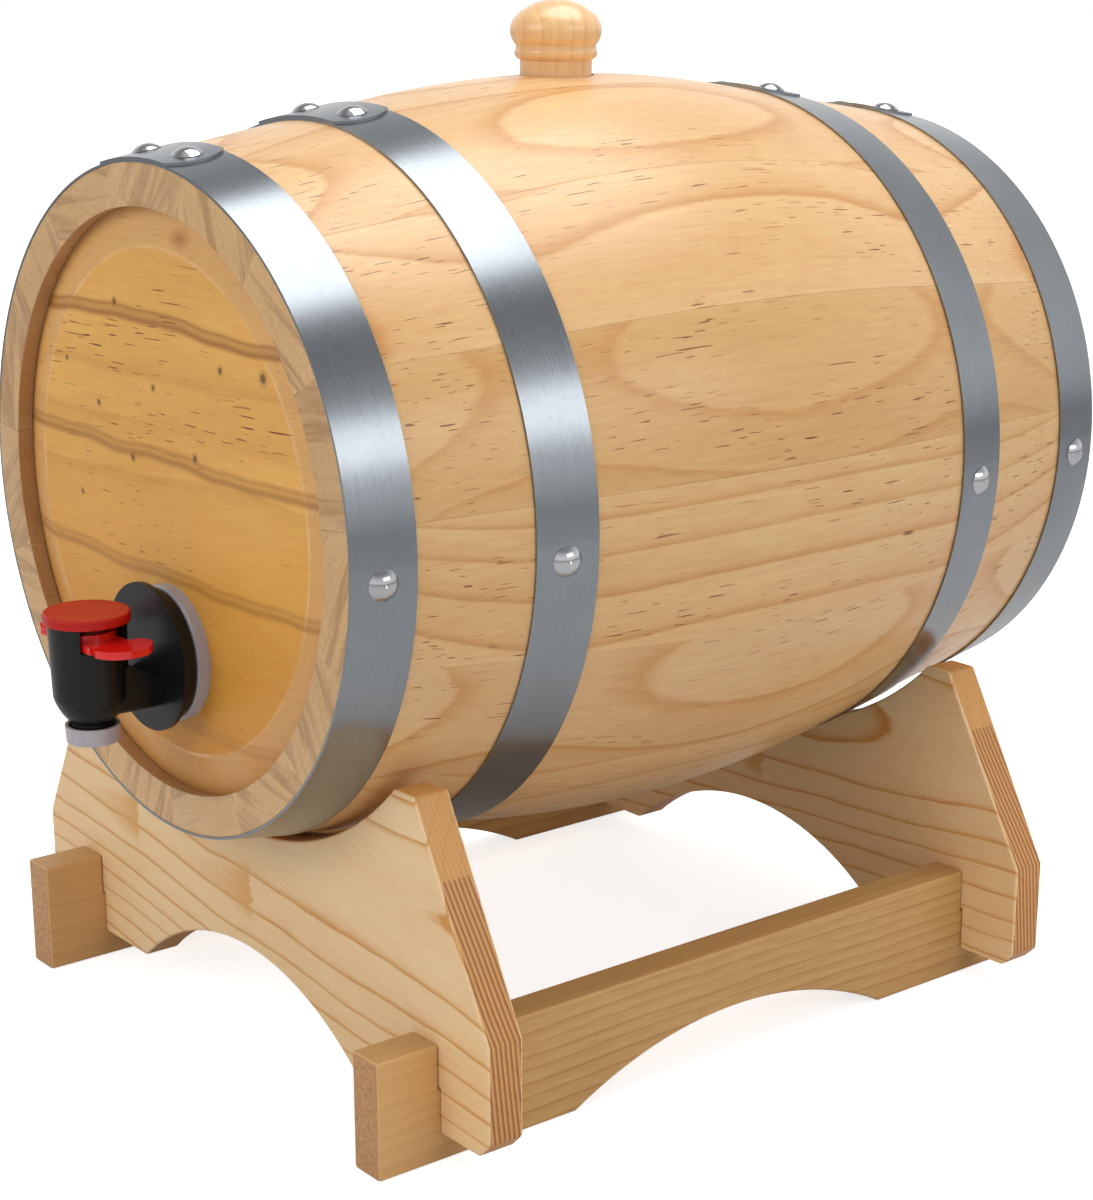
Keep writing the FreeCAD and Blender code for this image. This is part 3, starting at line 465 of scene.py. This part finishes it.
def stave_pine(number):
    off, first, gap, bow, tone, warm = STAVE_LOGS[number]
    middle = 90.0 + 360.0 / STAVE_COUNT * number
    turn = math.radians(middle + off)
    gap *= MILLIMETRE
    finish = Finish("stave %02d pine" % (number + 1))
    net = finish.net
    plank, out = straightened(finish, bow)
    heart = (BELLY_RADIUS - HEART_DEPTH) * Vector((math.cos(turn), 0.0, math.sin(turn)))
    pale = [shade * tone * (1 - loss * warm) for shade, loss in zip(STAVE_PALE, WARM_LOSS)]
    phase = (RING_LINE * gap - (HEART_DEPTH - first * MILLIMETRE)) % gap
    wood = finish.wood(heart, GRAIN_ALONG_Y, plank, ring_gap=gap, phase=phase, wander=0.0016,
                       seed=1.7 * number + 0.6, pale=colour(pale), line=colour(STAVE_LINE),
                       line_strength=0.85, crispness=1.3, dashes=1.0)
    facing = net.split(finish.normal)
    end_cut = net.grey(net.math("ABSOLUTE", facing[1]), SQUARE_ON)
    slant = math.radians(middle + SAWN_SLANTS[number % len(SAWN_SLANTS)])
    sawn = net.add("ShaderNodeMapping", {"Vector": finish.place}, vector_type="TEXTURE")
    sawn.inputs["Rotation"].default_value = (0.0, -slant, 0.0)
    sawn.inputs["Scale"].default_value = STRIPE_SIZE
    stripes = net.grey(net.noise(sawn.outputs[0], 1.0, 2.5), [(0.47, 0.0), (0.60, 0.85), (0.68, 0.2)])
    pores = net.grey(net.noise(finish.place, 900.0, 3.0), [(0.40, 0.0), (0.80, 0.45)])
    chime = net.mix(stripes, colour([shade * tone for shade in CHIME_WOOD]), colour(CHIME_STRIPE))
    chime = net.mix(pores, chime, colour(CHIME_STRIPE))
    # The inner wall of the chime, down to the groove, is painted darker and browner. It is partly a stain of the wood
    # and partly painted shade in that recess.
    groove_stain_and_shade = net.over(out, [(0.0, 1.0), (GROOVE_RADIUS, 1.0), (GROOVE_RADIUS + GROOVE_FADE, 0.0)])
    groove_stain_and_shade = net.math("MULTIPLY", groove_stain_and_shade, net.math("SUBTRACT", 1.0, end_cut))
    wood = net.mix(net.math("MULTIPLY", end_cut, 0.88), wood, chime)
    wood = net.mix(net.math("MULTIPLY", groove_stain_and_shade, 0.72), wood, colour(GROOVE_STAIN_AND_SHADE))
    return finish.lacquer(wood, rough=0.31, coat=0.38, rubbing=0.22)


for number in range(STAVE_COUNT):
    label = "bung_stave" if number == 0 else "stave_%02d" % (number + 1)
    stave = eased(label, width=0.00020, segments=1, angle=50.0)
    dress(stave, stave_pine(number))
    stand_for(stave, label, "stave_wood", "cask")

# Heads: three pine boards each, edge to edge, with a flat panel and a bevelled rim that
# sits in the staves' groove. The front one is amber, with brown growth bands across it,
# pin knots and a scorched spot on its bevel.
HEAD_PALE = (0.88, 0.475, 0.110)
HEAD_LINE = (0.46, 0.190, 0.030)
HEAD_AMBER = (0.62, 0.240, 0.014)
BEVEL_WOOD = (0.68, 0.400, 0.185)
ARRIS_HIGHLIGHT = (0.95, 0.66, 0.38)
BAND_BROWN = (0.375, 0.150, 0.028)
PAINTED_RIM_SHADE = (0.30, 0.135, 0.04)
KNOT_BROWN = (0.16, 0.07, 0.02)
SCORCH_BROWN = (0.42, 0.15, 0.03)
HEAD_TILT = (0.0, math.radians(-2.0), 0.0)
HEAD_HEART_Y = -0.060
BOARD_HEARTS = {"low": 0.010, "middle": -0.022, "high": 0.016}
HALF_HEAD = 0.1
BEVEL_RADIUS = 0.0790
HALF_ARRIS = 0.0004
RIM_RADIUS = 0.0896
RIM_FADE = 0.0024
KNOT_RADIUS = 0.0022
SCORCH = (0.0125, 0.2695)
SCORCH_RADIUS = 0.0085

# A band is its height over the axis (metres) and its strength, and BAND_SHAPE is how it
# fades below and above that. A pin knot is its place across, its height (millimetres) and
# its size.
FRONT_BANDS = ((0.0560, 1.0), (0.0150, 0.85), (-0.0225, 0.70), (-0.0680, 0.40))
REAR_BANDS = ((0.031, 0.5), (-0.052, 0.6))
BAND_SHAPE = ((-0.014, 0.0), (-0.006, 1.0), (0.003, 0.35), (0.009, 0.8), (0.014, 0.0))
PIN_KNOTS = (
    (-27.2, 246.8, 1.0), (34.1, 233.3, 1.0), (57.5, 234.2, 1.5), (-5.6, 222.7, 0.9), (-40.3, 213.3, 0.9),
    (-20.1, 198.8, 1.0), (17.7, 204.4, 1.1), (-54.2, 182.1, 0.8), (-60.0, 225.0, 0.7),
)


def head_pine(name, seed, heart_height, bands, knots):
    finish = Finish(name)
    net = finish.net
    heart = (0.0, HEAD_HEART_Y, heart_height)
    wood = finish.wood(heart, HEAD_TILT, ring_gap=0.0105, wander=0.010, seed=seed, pale=colour(HEAD_PALE),
                       line=colour(HEAD_LINE), line_strength=0.36, dashes=1.0)
    place = net.split(finish.place)
    up = net.math("SUBTRACT", place[2], AXIS_HEIGHT)
    sway = net.noise(net.vector("MULTIPLY", finish.place, (12.0, 0.0, 5.0)), 1.0, 2.0)
    level = net.math("ADD", up, net.math("MULTIPLY", net.math("SUBTRACT", sway, 0.5), 0.016))
    share = net.math("DIVIDE", net.math("ADD", level, HALF_HEAD), 2 * HALF_HEAD)
    wood = net.mix(net.grey(share, [(0.10, 0.90), (0.62, 0.0)]), wood, colour(HEAD_AMBER))

    out = net.radius(place[0], up)
    inner = BEVEL_RADIUS - HALF_ARRIS
    outer = BEVEL_RADIUS + HALF_ARRIS
    bevel = net.over(out, [(0.0, 0.0), (inner, 0.0), (outer, 1.0)])
    stained = net.noise(finish.place, 38.0, 3.0)
    bevel = net.math("MULTIPLY", bevel, net.grey(stained, [(0.35, 0.62), (0.65, 0.30)]))
    wood = net.mix(bevel, wood, colour(BEVEL_WOOD))
    # Painted highlight: a thin pale line along the arris between the panel and the bevel, broken into patches.
    arris_highlight = net.over(out, [(0.0, 0.0), (inner, 0.0), (BEVEL_RADIUS, 1.0), (outer, 0.0)])
    patchy_highlight = net.grey(stained, [(0.42, 0.12), (0.60, 0.75)])
    wood = net.mix(net.math("MULTIPLY", arris_highlight, patchy_highlight), wood, colour(ARRIS_HIGHLIGHT))

    stops = [(0.0, 0.0)]
    for band, strength in sorted(bands):
        middle = (band + HALF_HEAD) / (2 * HALF_HEAD)
        stops += [(middle + offset, strength * part) for offset, part in BAND_SHAPE]
    wood = net.mix(net.grey(share, stops), wood, colour(BAND_BROWN))
    # Painted shade: the rim of the head, down in the staves' groove, is darkened.
    rim_shade = net.over(out, [(0.0, 0.0), (RIM_RADIUS, 0.0), (RIM_RADIUS + RIM_FADE, 1.0)])
    wood = net.mix(net.math("MULTIPLY", rim_shade, 0.55), wood, colour(PAINTED_RIM_SHADE))

    def distance_from(across, high, squash=1.0):
        """How far a place on the head is from a mark, with its height counted squash times."""
        away = net.vector("SUBTRACT", finish.place, (across, 0.0, high))
        return net.vector("LENGTH", net.vector("MULTIPLY", away, (1.0, 0.0, squash)))

    for across, high, size in knots:
        far = distance_from(across * MILLIMETRE, high * MILLIMETRE)
        far = net.math("DIVIDE", far, size * KNOT_RADIUS)
        wood = net.mix(net.grey(far, [(0.30, 0.92), (0.50, 0.35), (1.0, 0.0)]), wood, colour(KNOT_BROWN))
    if knots:
        far = net.math("DIVIDE", distance_from(*SCORCH, squash=1.9), SCORCH_RADIUS)
        far = net.math("ADD", far, net.math("MULTIPLY", sway, 0.3))
        wood = net.mix(net.grey(far, [(0.25, 0.75), (0.75, 0.25), (1.0, 0.0)]), wood, colour(SCORCH_BROWN))
    return finish.lacquer(wood, rough=0.42, coat=0.05)


for end, bands, knots in (("front", FRONT_BANDS, PIN_KNOTS), ("rear", REAR_BANDS, ())):
    for number, (board, rise) in enumerate(BOARD_HEARTS.items()):
        label = "%s_head_%s" % (end, board)
        low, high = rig.box(label)
        heart_height = (low.z + high.z) / 2 + rise
        head_board = eased(label, width=0.00015, segments=1)
        dress(head_board, head_pine(label + " pine", 11.0 + 3.1 * number, heart_height, bands, knots))
        stand_for(head_board, label, "head_wood", "cask")

# Hoops: galvanised hoop iron, bent into a band and riveted where its rounded end laps over
# the other on top. The marks of rolling run along the strip, and its zinc is cloudy.
HOOP_TINT = (0.300, 0.325, 0.350)
WAVES_AROUND = 1.6
WAVES_ACROSS = 2400.0


def zinc(name, tint, rough):
    """Zinced steel; the rolling marks and the clouds add 0.10 to its roughness on average."""
    finish = Finish(name)
    net = finish.net
    place = net.split(finish.place)
    up = net.math("SUBTRACT", place[2], AXIS_HEIGHT)
    around = net.math("MULTIPLY", net.math("ARCTAN2", up, place[0]), WAVES_AROUND)
    across = net.math("MULTIPLY", place[1], WAVES_ACROSS)
    rolled = net.noise(net.add("ShaderNodeCombineXYZ", {0: around, 1: across}).outputs[0], 1.0, 4.0)
    patch = net.noise(finish.place, 24.0, 4.0)
    speck = net.noise(finish.place, 620.0, 3.0)
    cloudy = colour([shade * 0.84 for shade in tint])
    dark = colour([shade * 0.70 for shade in tint])
    metal = net.mix(net.grey(patch, [(0.3, 0.0), (0.7, 1.0)]), colour(tint), cloudy)
    metal = net.mix(net.grey(speck, [(0.52, 0.0), (0.80, 0.35)]), metal, dark)
    metal = net.mix(0.12, metal, net.grey(rolled, FAINT), "OVERLAY")
    scuffed = net.math("ADD", net.math("MULTIPLY", rolled, 0.12), net.math("MULTIPLY", patch, 0.08))
    scuffed = net.math("ADD", scuffed, rough - 0.10)
    finish.shade({"Base Color": metal, "Roughness": scuffed, "Metallic": 1.0})
    finish.bump(rolled, strength=0.08, distance=0.00008)
    return finish.material


hoop_zinc = zinc("hoop zinc", HOOP_TINT, 0.24)
for label in ("front_head_hoop", "front_quarter_hoop", "rear_quarter_hoop", "rear_head_hoop"):
    dress(node[label], hoop_zinc)

# Rivets and nails: domed heads of brighter steel, polished by the tool that set them. Two
# rivets close each hoop's lap, and a nail on each side holds the hoop to a stave.
STUD_TINT = (0.55, 0.56, 0.58)
stud_steel = zinc("stud steel", STUD_TINT, 0.14)
for label in ("hoop_rivets", "hoop_nails"):
    dress(node[label], stud_steel)

# Bung: turned from one pine blank with its grain upright, with a groove and a bead under
# the knob, and lacquered to a gloss. A rubber ring seals its shank in the filler neck.
GRAIN_UPRIGHT = (0.0, math.radians(90), 0.0)
BUNG_PALE = (0.94, 0.60, 0.29)
BUNG_LINE = (0.68, 0.32, 0.09)
BUNG_HEART = (0.030, CASK_MIDDLE + 0.050, 0.30)
SEAL_BLACK = (0.02, 0.02, 0.02)
bung_finish = Finish("bung pine")
bung_wood = bung_finish.wood(BUNG_HEART, GRAIN_UPRIGHT, ring_gap=0.0048, wander=0.003, seed=21.0,
                             pale=colour(BUNG_PALE), line=colour(BUNG_LINE), line_strength=0.45,
                             dashes=0.12)
dress(node["bung"], bung_finish.lacquer(bung_wood, rough=0.22, coat=0.6, rubbing=0.22))


def moulded(name, tint, rough, cloud_strength=0.10):
    """Moulded plastic or rubber: mottled, which adds 0.06 to its roughness on average."""
    finish = Finish(name)
    net = finish.net
    cloud = net.noise(finish.place, 140.0, 4.0)
    peel = net.noise(finish.place, 1500.0, 2.0)
    paler = colour([min(1.0, shade * 1.5 + 0.012) for shade in tint])
    mottled = net.mix(net.grey(cloud, [(0.35, 0.0), (0.70, cloud_strength)]), colour(tint), paler)
    dull = net.math("ADD", net.math("MULTIPLY", cloud, 0.12), rough - 0.06)
    finish.shade({"Base Color": mottled, "Roughness": dull})
    finish.bump(peel, strength=0.10, distance=0.00006)
    return finish


dress(node["bung_seal"], moulded("seal rubber", SEAL_BLACK, 0.55).material)

# Liner: the bag of metallised film that holds the drink, with its milky filler neck and
# outlet gland. The gland's collar is the pale ring between the head and the tap.
FILM_GREY = (0.58, 0.60, 0.63)
MILKY_WHITE = (0.43, 0.40, 0.44)
dress(node["liner_bag"], moulded("liner film", FILM_GREY, 0.28).material)
milky = moulded("milky polythene", MILKY_WHITE, 0.28, cloud_strength=0.25)
milky.shade({"Subsurface Weight": 0.25, "Subsurface Radius": (0.003, 0.003, 0.004)})
for label in ("filler_neck", "liner_gland", "gland_collar"):
    dress(node[label], milky.material)

# Tap: a squeeze tap moulded in satin black, with a dull red lid snapped on top. The lever
# that is squeezed is a brighter, glossier red; its return dome and valve plug are rubber.
TAP_BLACK = (0.006, 0.0065, 0.0065)
LID_RED = (0.50, 0.011, 0.006)
LEVER_RED = (0.78, 0.012, 0.008)
DOME_RED = (0.20, 0.012, 0.012)
LEVER_TRAVEL = 0.004
tap_black = moulded("tap black", TAP_BLACK, 0.30, cloud_strength=0.22)
tap_black.shade({"Specular IOR Level": 0.28})
tap_body = eased("tap_body", width=0.00022)
dress(tap_body, tap_black.material)
stand_for(tap_body, "tap_body", "tap_black", "tap")

lid_red = moulded("lid red", LID_RED, 0.36)
lid_red.shade({"Specular IOR Level": 0.25})
lid = eased("tap_lid", width=0.00030)
dress(lid, lid_red.material)
stand_for(lid, "tap_lid", "tap_red", "tap")

lever_red = moulded("lever red", LEVER_RED, 0.22)
lever_red.shade({"Coat Weight": 0.3, "Coat Roughness": 0.10})
lever = eased("tap_lever", width=0.00055, segments=3)
dress(lever, lever_red.material)
stand_for(lever, "tap_lever", "lever_red", "lever")

dome_rubber = moulded("dome rubber", DOME_RED, 0.45).material
dress(node["valve_plug"], dome_rubber)
dome_low, dome_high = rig.box("return_dome")
dome_top = ((dome_low.x + dome_high.x) / 2, (dome_low.y + dome_high.y) / 2, dome_high.z)
dome = eased("return_dome", width=0.00010)
dress(dome, dome_rubber)
stand_for(dome, "return_dome", "valve_rubber", "tap")
flattened = 1 - LEVER_TRAVEL / (dome_high.z - dome_low.z)
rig.squash(dome, "lever_squeeze", axis=(0, 0, 1), anchor=dome_top, keep=flattened)

# Spout cap: a thin dust cap that is pushed over the nozzle and pulls down off it. It is
# moulded in the same milky plastic as the gland.
dress(node["spout_cap"], milky.material)

# Stand: two cradle boards and two rails of pale, plain-sawn pine, cross-lapped and glued.
# Orange growth lines run along each board, and its sloped ends show the rings as red-brown
# stripes. The rails are of a plainer, browner board.
CRADLE_PALE = (0.93, 0.670, 0.375)
CRADLE_LINE = (0.70, 0.320, 0.075)
FLAME_WOOD = (0.74, 0.375, 0.105)
EDGE_WOOD = (0.70, 0.335, 0.092)
EDGE_STRIPE = (0.24, 0.050, 0.010)
STAND_ARRIS = 0.0009
HEART_BEHIND = 0.030
STRIPE_GAP = 0.00175
STRIPE_LEAN = 0.10
STRIPE_WAVE = 0.0016
STRIPE_TOP = 0.0898
STRIPE_FADE = 0.0006

# A flame is a tongue of late wood on the cradle's face: the place across and the height of
# its blunt end, from which it narrows to a point.
FLAMES = ((0.012, 0.055), (-0.060, 0.061))
FLAME_LENGTH = 0.050
FLAME_SPREAD = 0.24
FLAME_RAGGED = 0.012


def cradle_pine(label, seed, heart_height, tilt):
    low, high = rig.box(label)
    finish = Finish(label + " pine")
    net = finish.net
    heart = (0.0, high.y + HEART_BEHIND, heart_height)
    wood = finish.wood(heart, (0.0, math.radians(tilt), 0.0), ring_gap=0.0062, wander=0.010, seed=seed,
                       pale=colour(CRADLE_PALE), line=colour(CRADLE_LINE), line_strength=1.3,
                       crispness=2.6, dashes=0.05)
    place = net.split(finish.place)
    ragged = net.noise(net.vector("MULTIPLY", finish.place, (40.0, 0.0, 330.0)), 1.0, 3.0)
    for blunt_end, flame_height in FLAMES:
        along = net.math("SUBTRACT", place[0], blunt_end - FLAME_LENGTH)
        along = net.math("ADD", along, net.math("MULTIPLY", ragged, FLAME_RAGGED))
        half = net.math("MAXIMUM", net.math("MULTIPLY", along, FLAME_SPREAD), MILLIMETRE)
        off = net.math("ABSOLUTE", net.math("SUBTRACT", place[2], flame_height))
        off = net.math("DIVIDE", off, half)
        share = net.math("DIVIDE", along, FLAME_LENGTH)
        length = net.grey(share, [(0.05, 0.0), (0.60, 0.40), (0.96, 0.90), (0.99, 0.0)])
        shape = net.math("MULTIPLY", length, net.grey(off, [(0.45, 1.0), (0.98, 0.0)]))
        wood = net.mix(shape, wood, colour(FLAME_WOOD))

    facing = net.split(finish.normal)
    sloped = net.grey(net.math("ABSOLUTE", facing[1]), [(0.05, 1.0), (0.30, 0.0)])
    lower = net.over(place[2], [(0.0, 1.0), (STRIPE_TOP, 1.0), (STRIPE_TOP + STRIPE_FADE, 0.0)])
    lean = net.math("ADD", place[1], net.math("MULTIPLY", place[2], STRIPE_LEAN))
    wave = net.noise(net.vector("MULTIPLY", finish.place, (30.0, 30.0, 18.0)), 1.0, 2.0)
    lean = net.math("ADD", lean, net.math("MULTIPLY", wave, STRIPE_WAVE))
    comb = net.math("FRACT", net.math("DIVIDE", lean, STRIPE_GAP))
    comb = net.grey(comb, [(0.0, 0.0), (0.30, 0.10), (0.75, 1.0), (0.90, 0.85), (1.0, 0.0)])
    strength = net.math("ADD", net.math("MULTIPLY", lower, 0.80), 0.16)
    edge = net.mix(net.math("MULTIPLY", comb, strength), colour(EDGE_WOOD), colour(EDGE_STRIPE))
    wood = net.mix(net.math("MULTIPLY", sloped, 0.90), wood, edge)
    return finish.lacquer(wood, rough=0.40, coat=0.12)


for label, seed, heart_height, tilt in (("front_cradle", 3.0, 0.085, 5.0), ("rear_cradle", 7.4, 0.080, -3.0)):
    board = eased(label, width=STAND_ARRIS)
    dress(board, cradle_pine(label, seed, heart_height, tilt))
    stand_for(board, label, "stand_wood", "stand")

RAIL_PALE = (0.66, 0.395, 0.150)
RAIL_LINE = (0.45, 0.210, 0.055)
RAIL_FRONT = (0.86, 0.50, 0.21)
RAIL_END = (0.60, 0.325, 0.14)
RAIL_PORES = (0.30, 0.13, 0.045)
RAIL_TOP = (0.42, 0.245, 0.095)
HEART_ASIDE = 0.022
RAIL_HEART_HEIGHT = -0.030


def rail_pine(label, seed):
    low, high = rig.box(label)
    finish = Finish(label + " pine")
    net = finish.net
    heart = (low.x - HEART_ASIDE, 0.0, RAIL_HEART_HEIGHT)
    wood = finish.wood(heart, GRAIN_ALONG_Y, ring_gap=0.0036, wander=0.007, seed=seed,
                       pale=colour(RAIL_PALE), line=colour(RAIL_LINE), line_strength=0.75, dashes=0.08)
    ahead = net.math("SUBTRACT", net.split(finish.place)[1], low.y)
    ahead = net.math("DIVIDE", ahead, high.y - low.y)
    wood = net.mix(net.grey(ahead, [(0.06, 0.55), (0.16, 0.0)]), wood, colour(RAIL_FRONT))
    facing = net.split(finish.normal)
    end_cut = net.grey(net.math("ABSOLUTE", facing[1]), SQUARE_ON)
    pores = net.grey(net.noise(finish.place, 700.0, 3.0), [(0.35, 0.0), (0.75, 0.8)])
    cut = net.mix(pores, colour(RAIL_END), colour(RAIL_PORES))
    wood = net.mix(net.math("MULTIPLY", end_cut, 0.85), wood, cut)
    # The rails' top faces are painted darker and browner.
    top = net.grey(facing[2], SQUARE_ON)
    wood = net.mix(net.math("MULTIPLY", top, 0.50), wood, colour(RAIL_TOP))
    return finish.lacquer(wood, rough=0.40, coat=0.12)


for label, seed in (("left_rail", 1.8), ("right_rail", 5.2)):
    board = eased(label, width=STAND_ARRIS)
    dress(board, rail_pine(label, seed))
    stand_for(board, label, "stand_wood", "stand")

# Studio: a pale floor that keeps the object's soft shadow, and a surround that is white to
# the camera and darker in reflections. A wide soft light hangs overhead, a long low one
# stands to the right and a fill stands in front.
FLOOR_SIZE = 12.0
FLOOR_DROP = 0.0002
FLOOR_GREY = (0.72, 0.72, 0.72)
FLOOR_REACH = 2.0
WHITE = (1, 1, 1, 1)
MATT_STRENGTH = 0.52
MIRRORED = [(0.0, 0.8), (0.10, 1.0), (0.40, 0.85), (0.64, 0.50), (0.76, 0.32), (0.86, 0.34), (1.0, 0.8)]
bpy.ops.object.select_all(action="DESELECT")
bpy.ops.mesh.primitive_plane_add(size=FLOOR_SIZE, location=(0, 0, -FLOOR_DROP))
floor = bpy.context.object
floor.name = "studio_floor"
floor_finish = Finish("floor paint")
floor_finish.shade({"Base Color": colour(FLOOR_GREY), "Roughness": 0.9, "Specular IOR Level": 0.0})
net = floor_finish.net
seen = net.add("ShaderNodeLightPath").outputs["Is Camera Ray"]
far = net.vector("LENGTH", floor_finish.place)
lift = net.grey(net.math("DIVIDE", far, FLOOR_REACH), [(0.05, 0.74), (0.22, 0.78), (0.60, 1.0)])
glow = net.add("ShaderNodeEmission", {"Color": WHITE, "Strength": net.math("MULTIPLY", seen, lift)})
both = net.add("ShaderNodeAddShader", {0: floor_finish.shader.outputs[0], 1: glow.outputs[0]})
net.join(both.outputs[0], floor_finish.material.node_tree.nodes["Material Output"].inputs["Surface"])
dress(floor, floor_finish.material)
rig.stage(floor)

surround = bpy.data.worlds.new("surround")
bpy.context.scene.world = surround
surround.use_nodes = True
background = surround.node_tree.nodes["Background"].inputs
net = NodeNet(surround.node_tree)
path = net.add("ShaderNodeLightPath").outputs
direct = net.math("MAXIMUM", path["Is Camera Ray"], path["Is Transmission Ray"])
upward = net.split(net.add("ShaderNodeTexCoord").outputs["Generated"])[2]
strength = net.math("MULTIPLY", path["Is Glossy Ray"], net.grey(upward, MIRRORED))
matt = net.math("MULTIPLY", net.math("SUBTRACT", 1.0, path["Is Glossy Ray"]), MATT_STRENGTH)
strength = net.math("ADD", strength, matt)
net.join(net.math("MAXIMUM", strength, direct), background["Strength"])
background["Color"].default_value = WHITE


def soft_light(name, place, size, power, aim=(0.0, CASK_MIDDLE, 0.17)):
    lamp = bpy.data.lights.new(name, "AREA")
    lamp.shape = "RECTANGLE"
    lamp.size, lamp.size_y = size
    lamp.energy = power
    holder = bpy.data.objects.new(name, lamp)
    holder.location = place
    holder.rotation_euler = (Vector(aim) - Vector(place)).to_track_quat("-Z", "Y").to_euler()
    bpy.context.scene.collection.objects.link(holder)


soft_light("top_light", place=(0.02, 0.28, 1.28), size=(0.95, 0.85), power=8.8)
soft_light("side_light", place=(1.25, 0.30, 0.72), size=(0.95, 0.34), power=2.4)
soft_light("front_light", place=(-0.05, -1.55, 0.95), size=(1.1, 0.8), power=6.6)

# Camera: where the photograph was taken from, by a fit of the cask and its stand to it. The
# lens is shifted, because that fit puts the optical centre off the middle of the picture.
PHOTO_WIDTH = 1093.0
PHOTO_HEIGHT = 1200.0
FOCAL_PIXELS = 2523.49
CENTRE_RIGHT = 555.886
CENTRE_DOWN = 686.279
SENSOR = 36.0
AZIMUTH = math.radians(51.2554)
ELEVATION = math.radians(16.9631)
CAMERA_DISTANCE = 0.895529
AIM_HEIGHT = 0.099331
level = math.cos(ELEVATION)
sight = Vector((math.sin(AZIMUTH) * level, -math.cos(AZIMUTH) * level, math.sin(ELEVATION)))
lens = bpy.data.cameras.new("camera")
camera = bpy.data.objects.new("camera", lens)
bpy.context.scene.collection.objects.link(camera)
camera.location = Vector((0.0, CASK_MIDDLE, AIM_HEIGHT)) + sight * CAMERA_DISTANCE
camera.rotation_euler = (-sight).to_track_quat("-Z", "Y").to_euler()
lens.sensor_width = SENSOR
lens.lens = FOCAL_PIXELS * SENSOR / PHOTO_HEIGHT
lens.shift_x = (PHOTO_WIDTH / 2 - CENTRE_RIGHT) / PHOTO_HEIGHT
lens.shift_y = (CENTRE_DOWN - PHOTO_HEIGHT / 2) / PHOTO_HEIGHT
lens.clip_start = 0.01
lens.dof.use_dof = False
bpy.context.scene.camera = camera
bpy.context.scene.view_settings.view_transform = "Standard"

low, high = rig.bounds()
with open("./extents.json", "w") as written:
    json.dump({"cad": [list(cad_low), list(cad_high)], "visual": [list(low), list(high)]}, written)
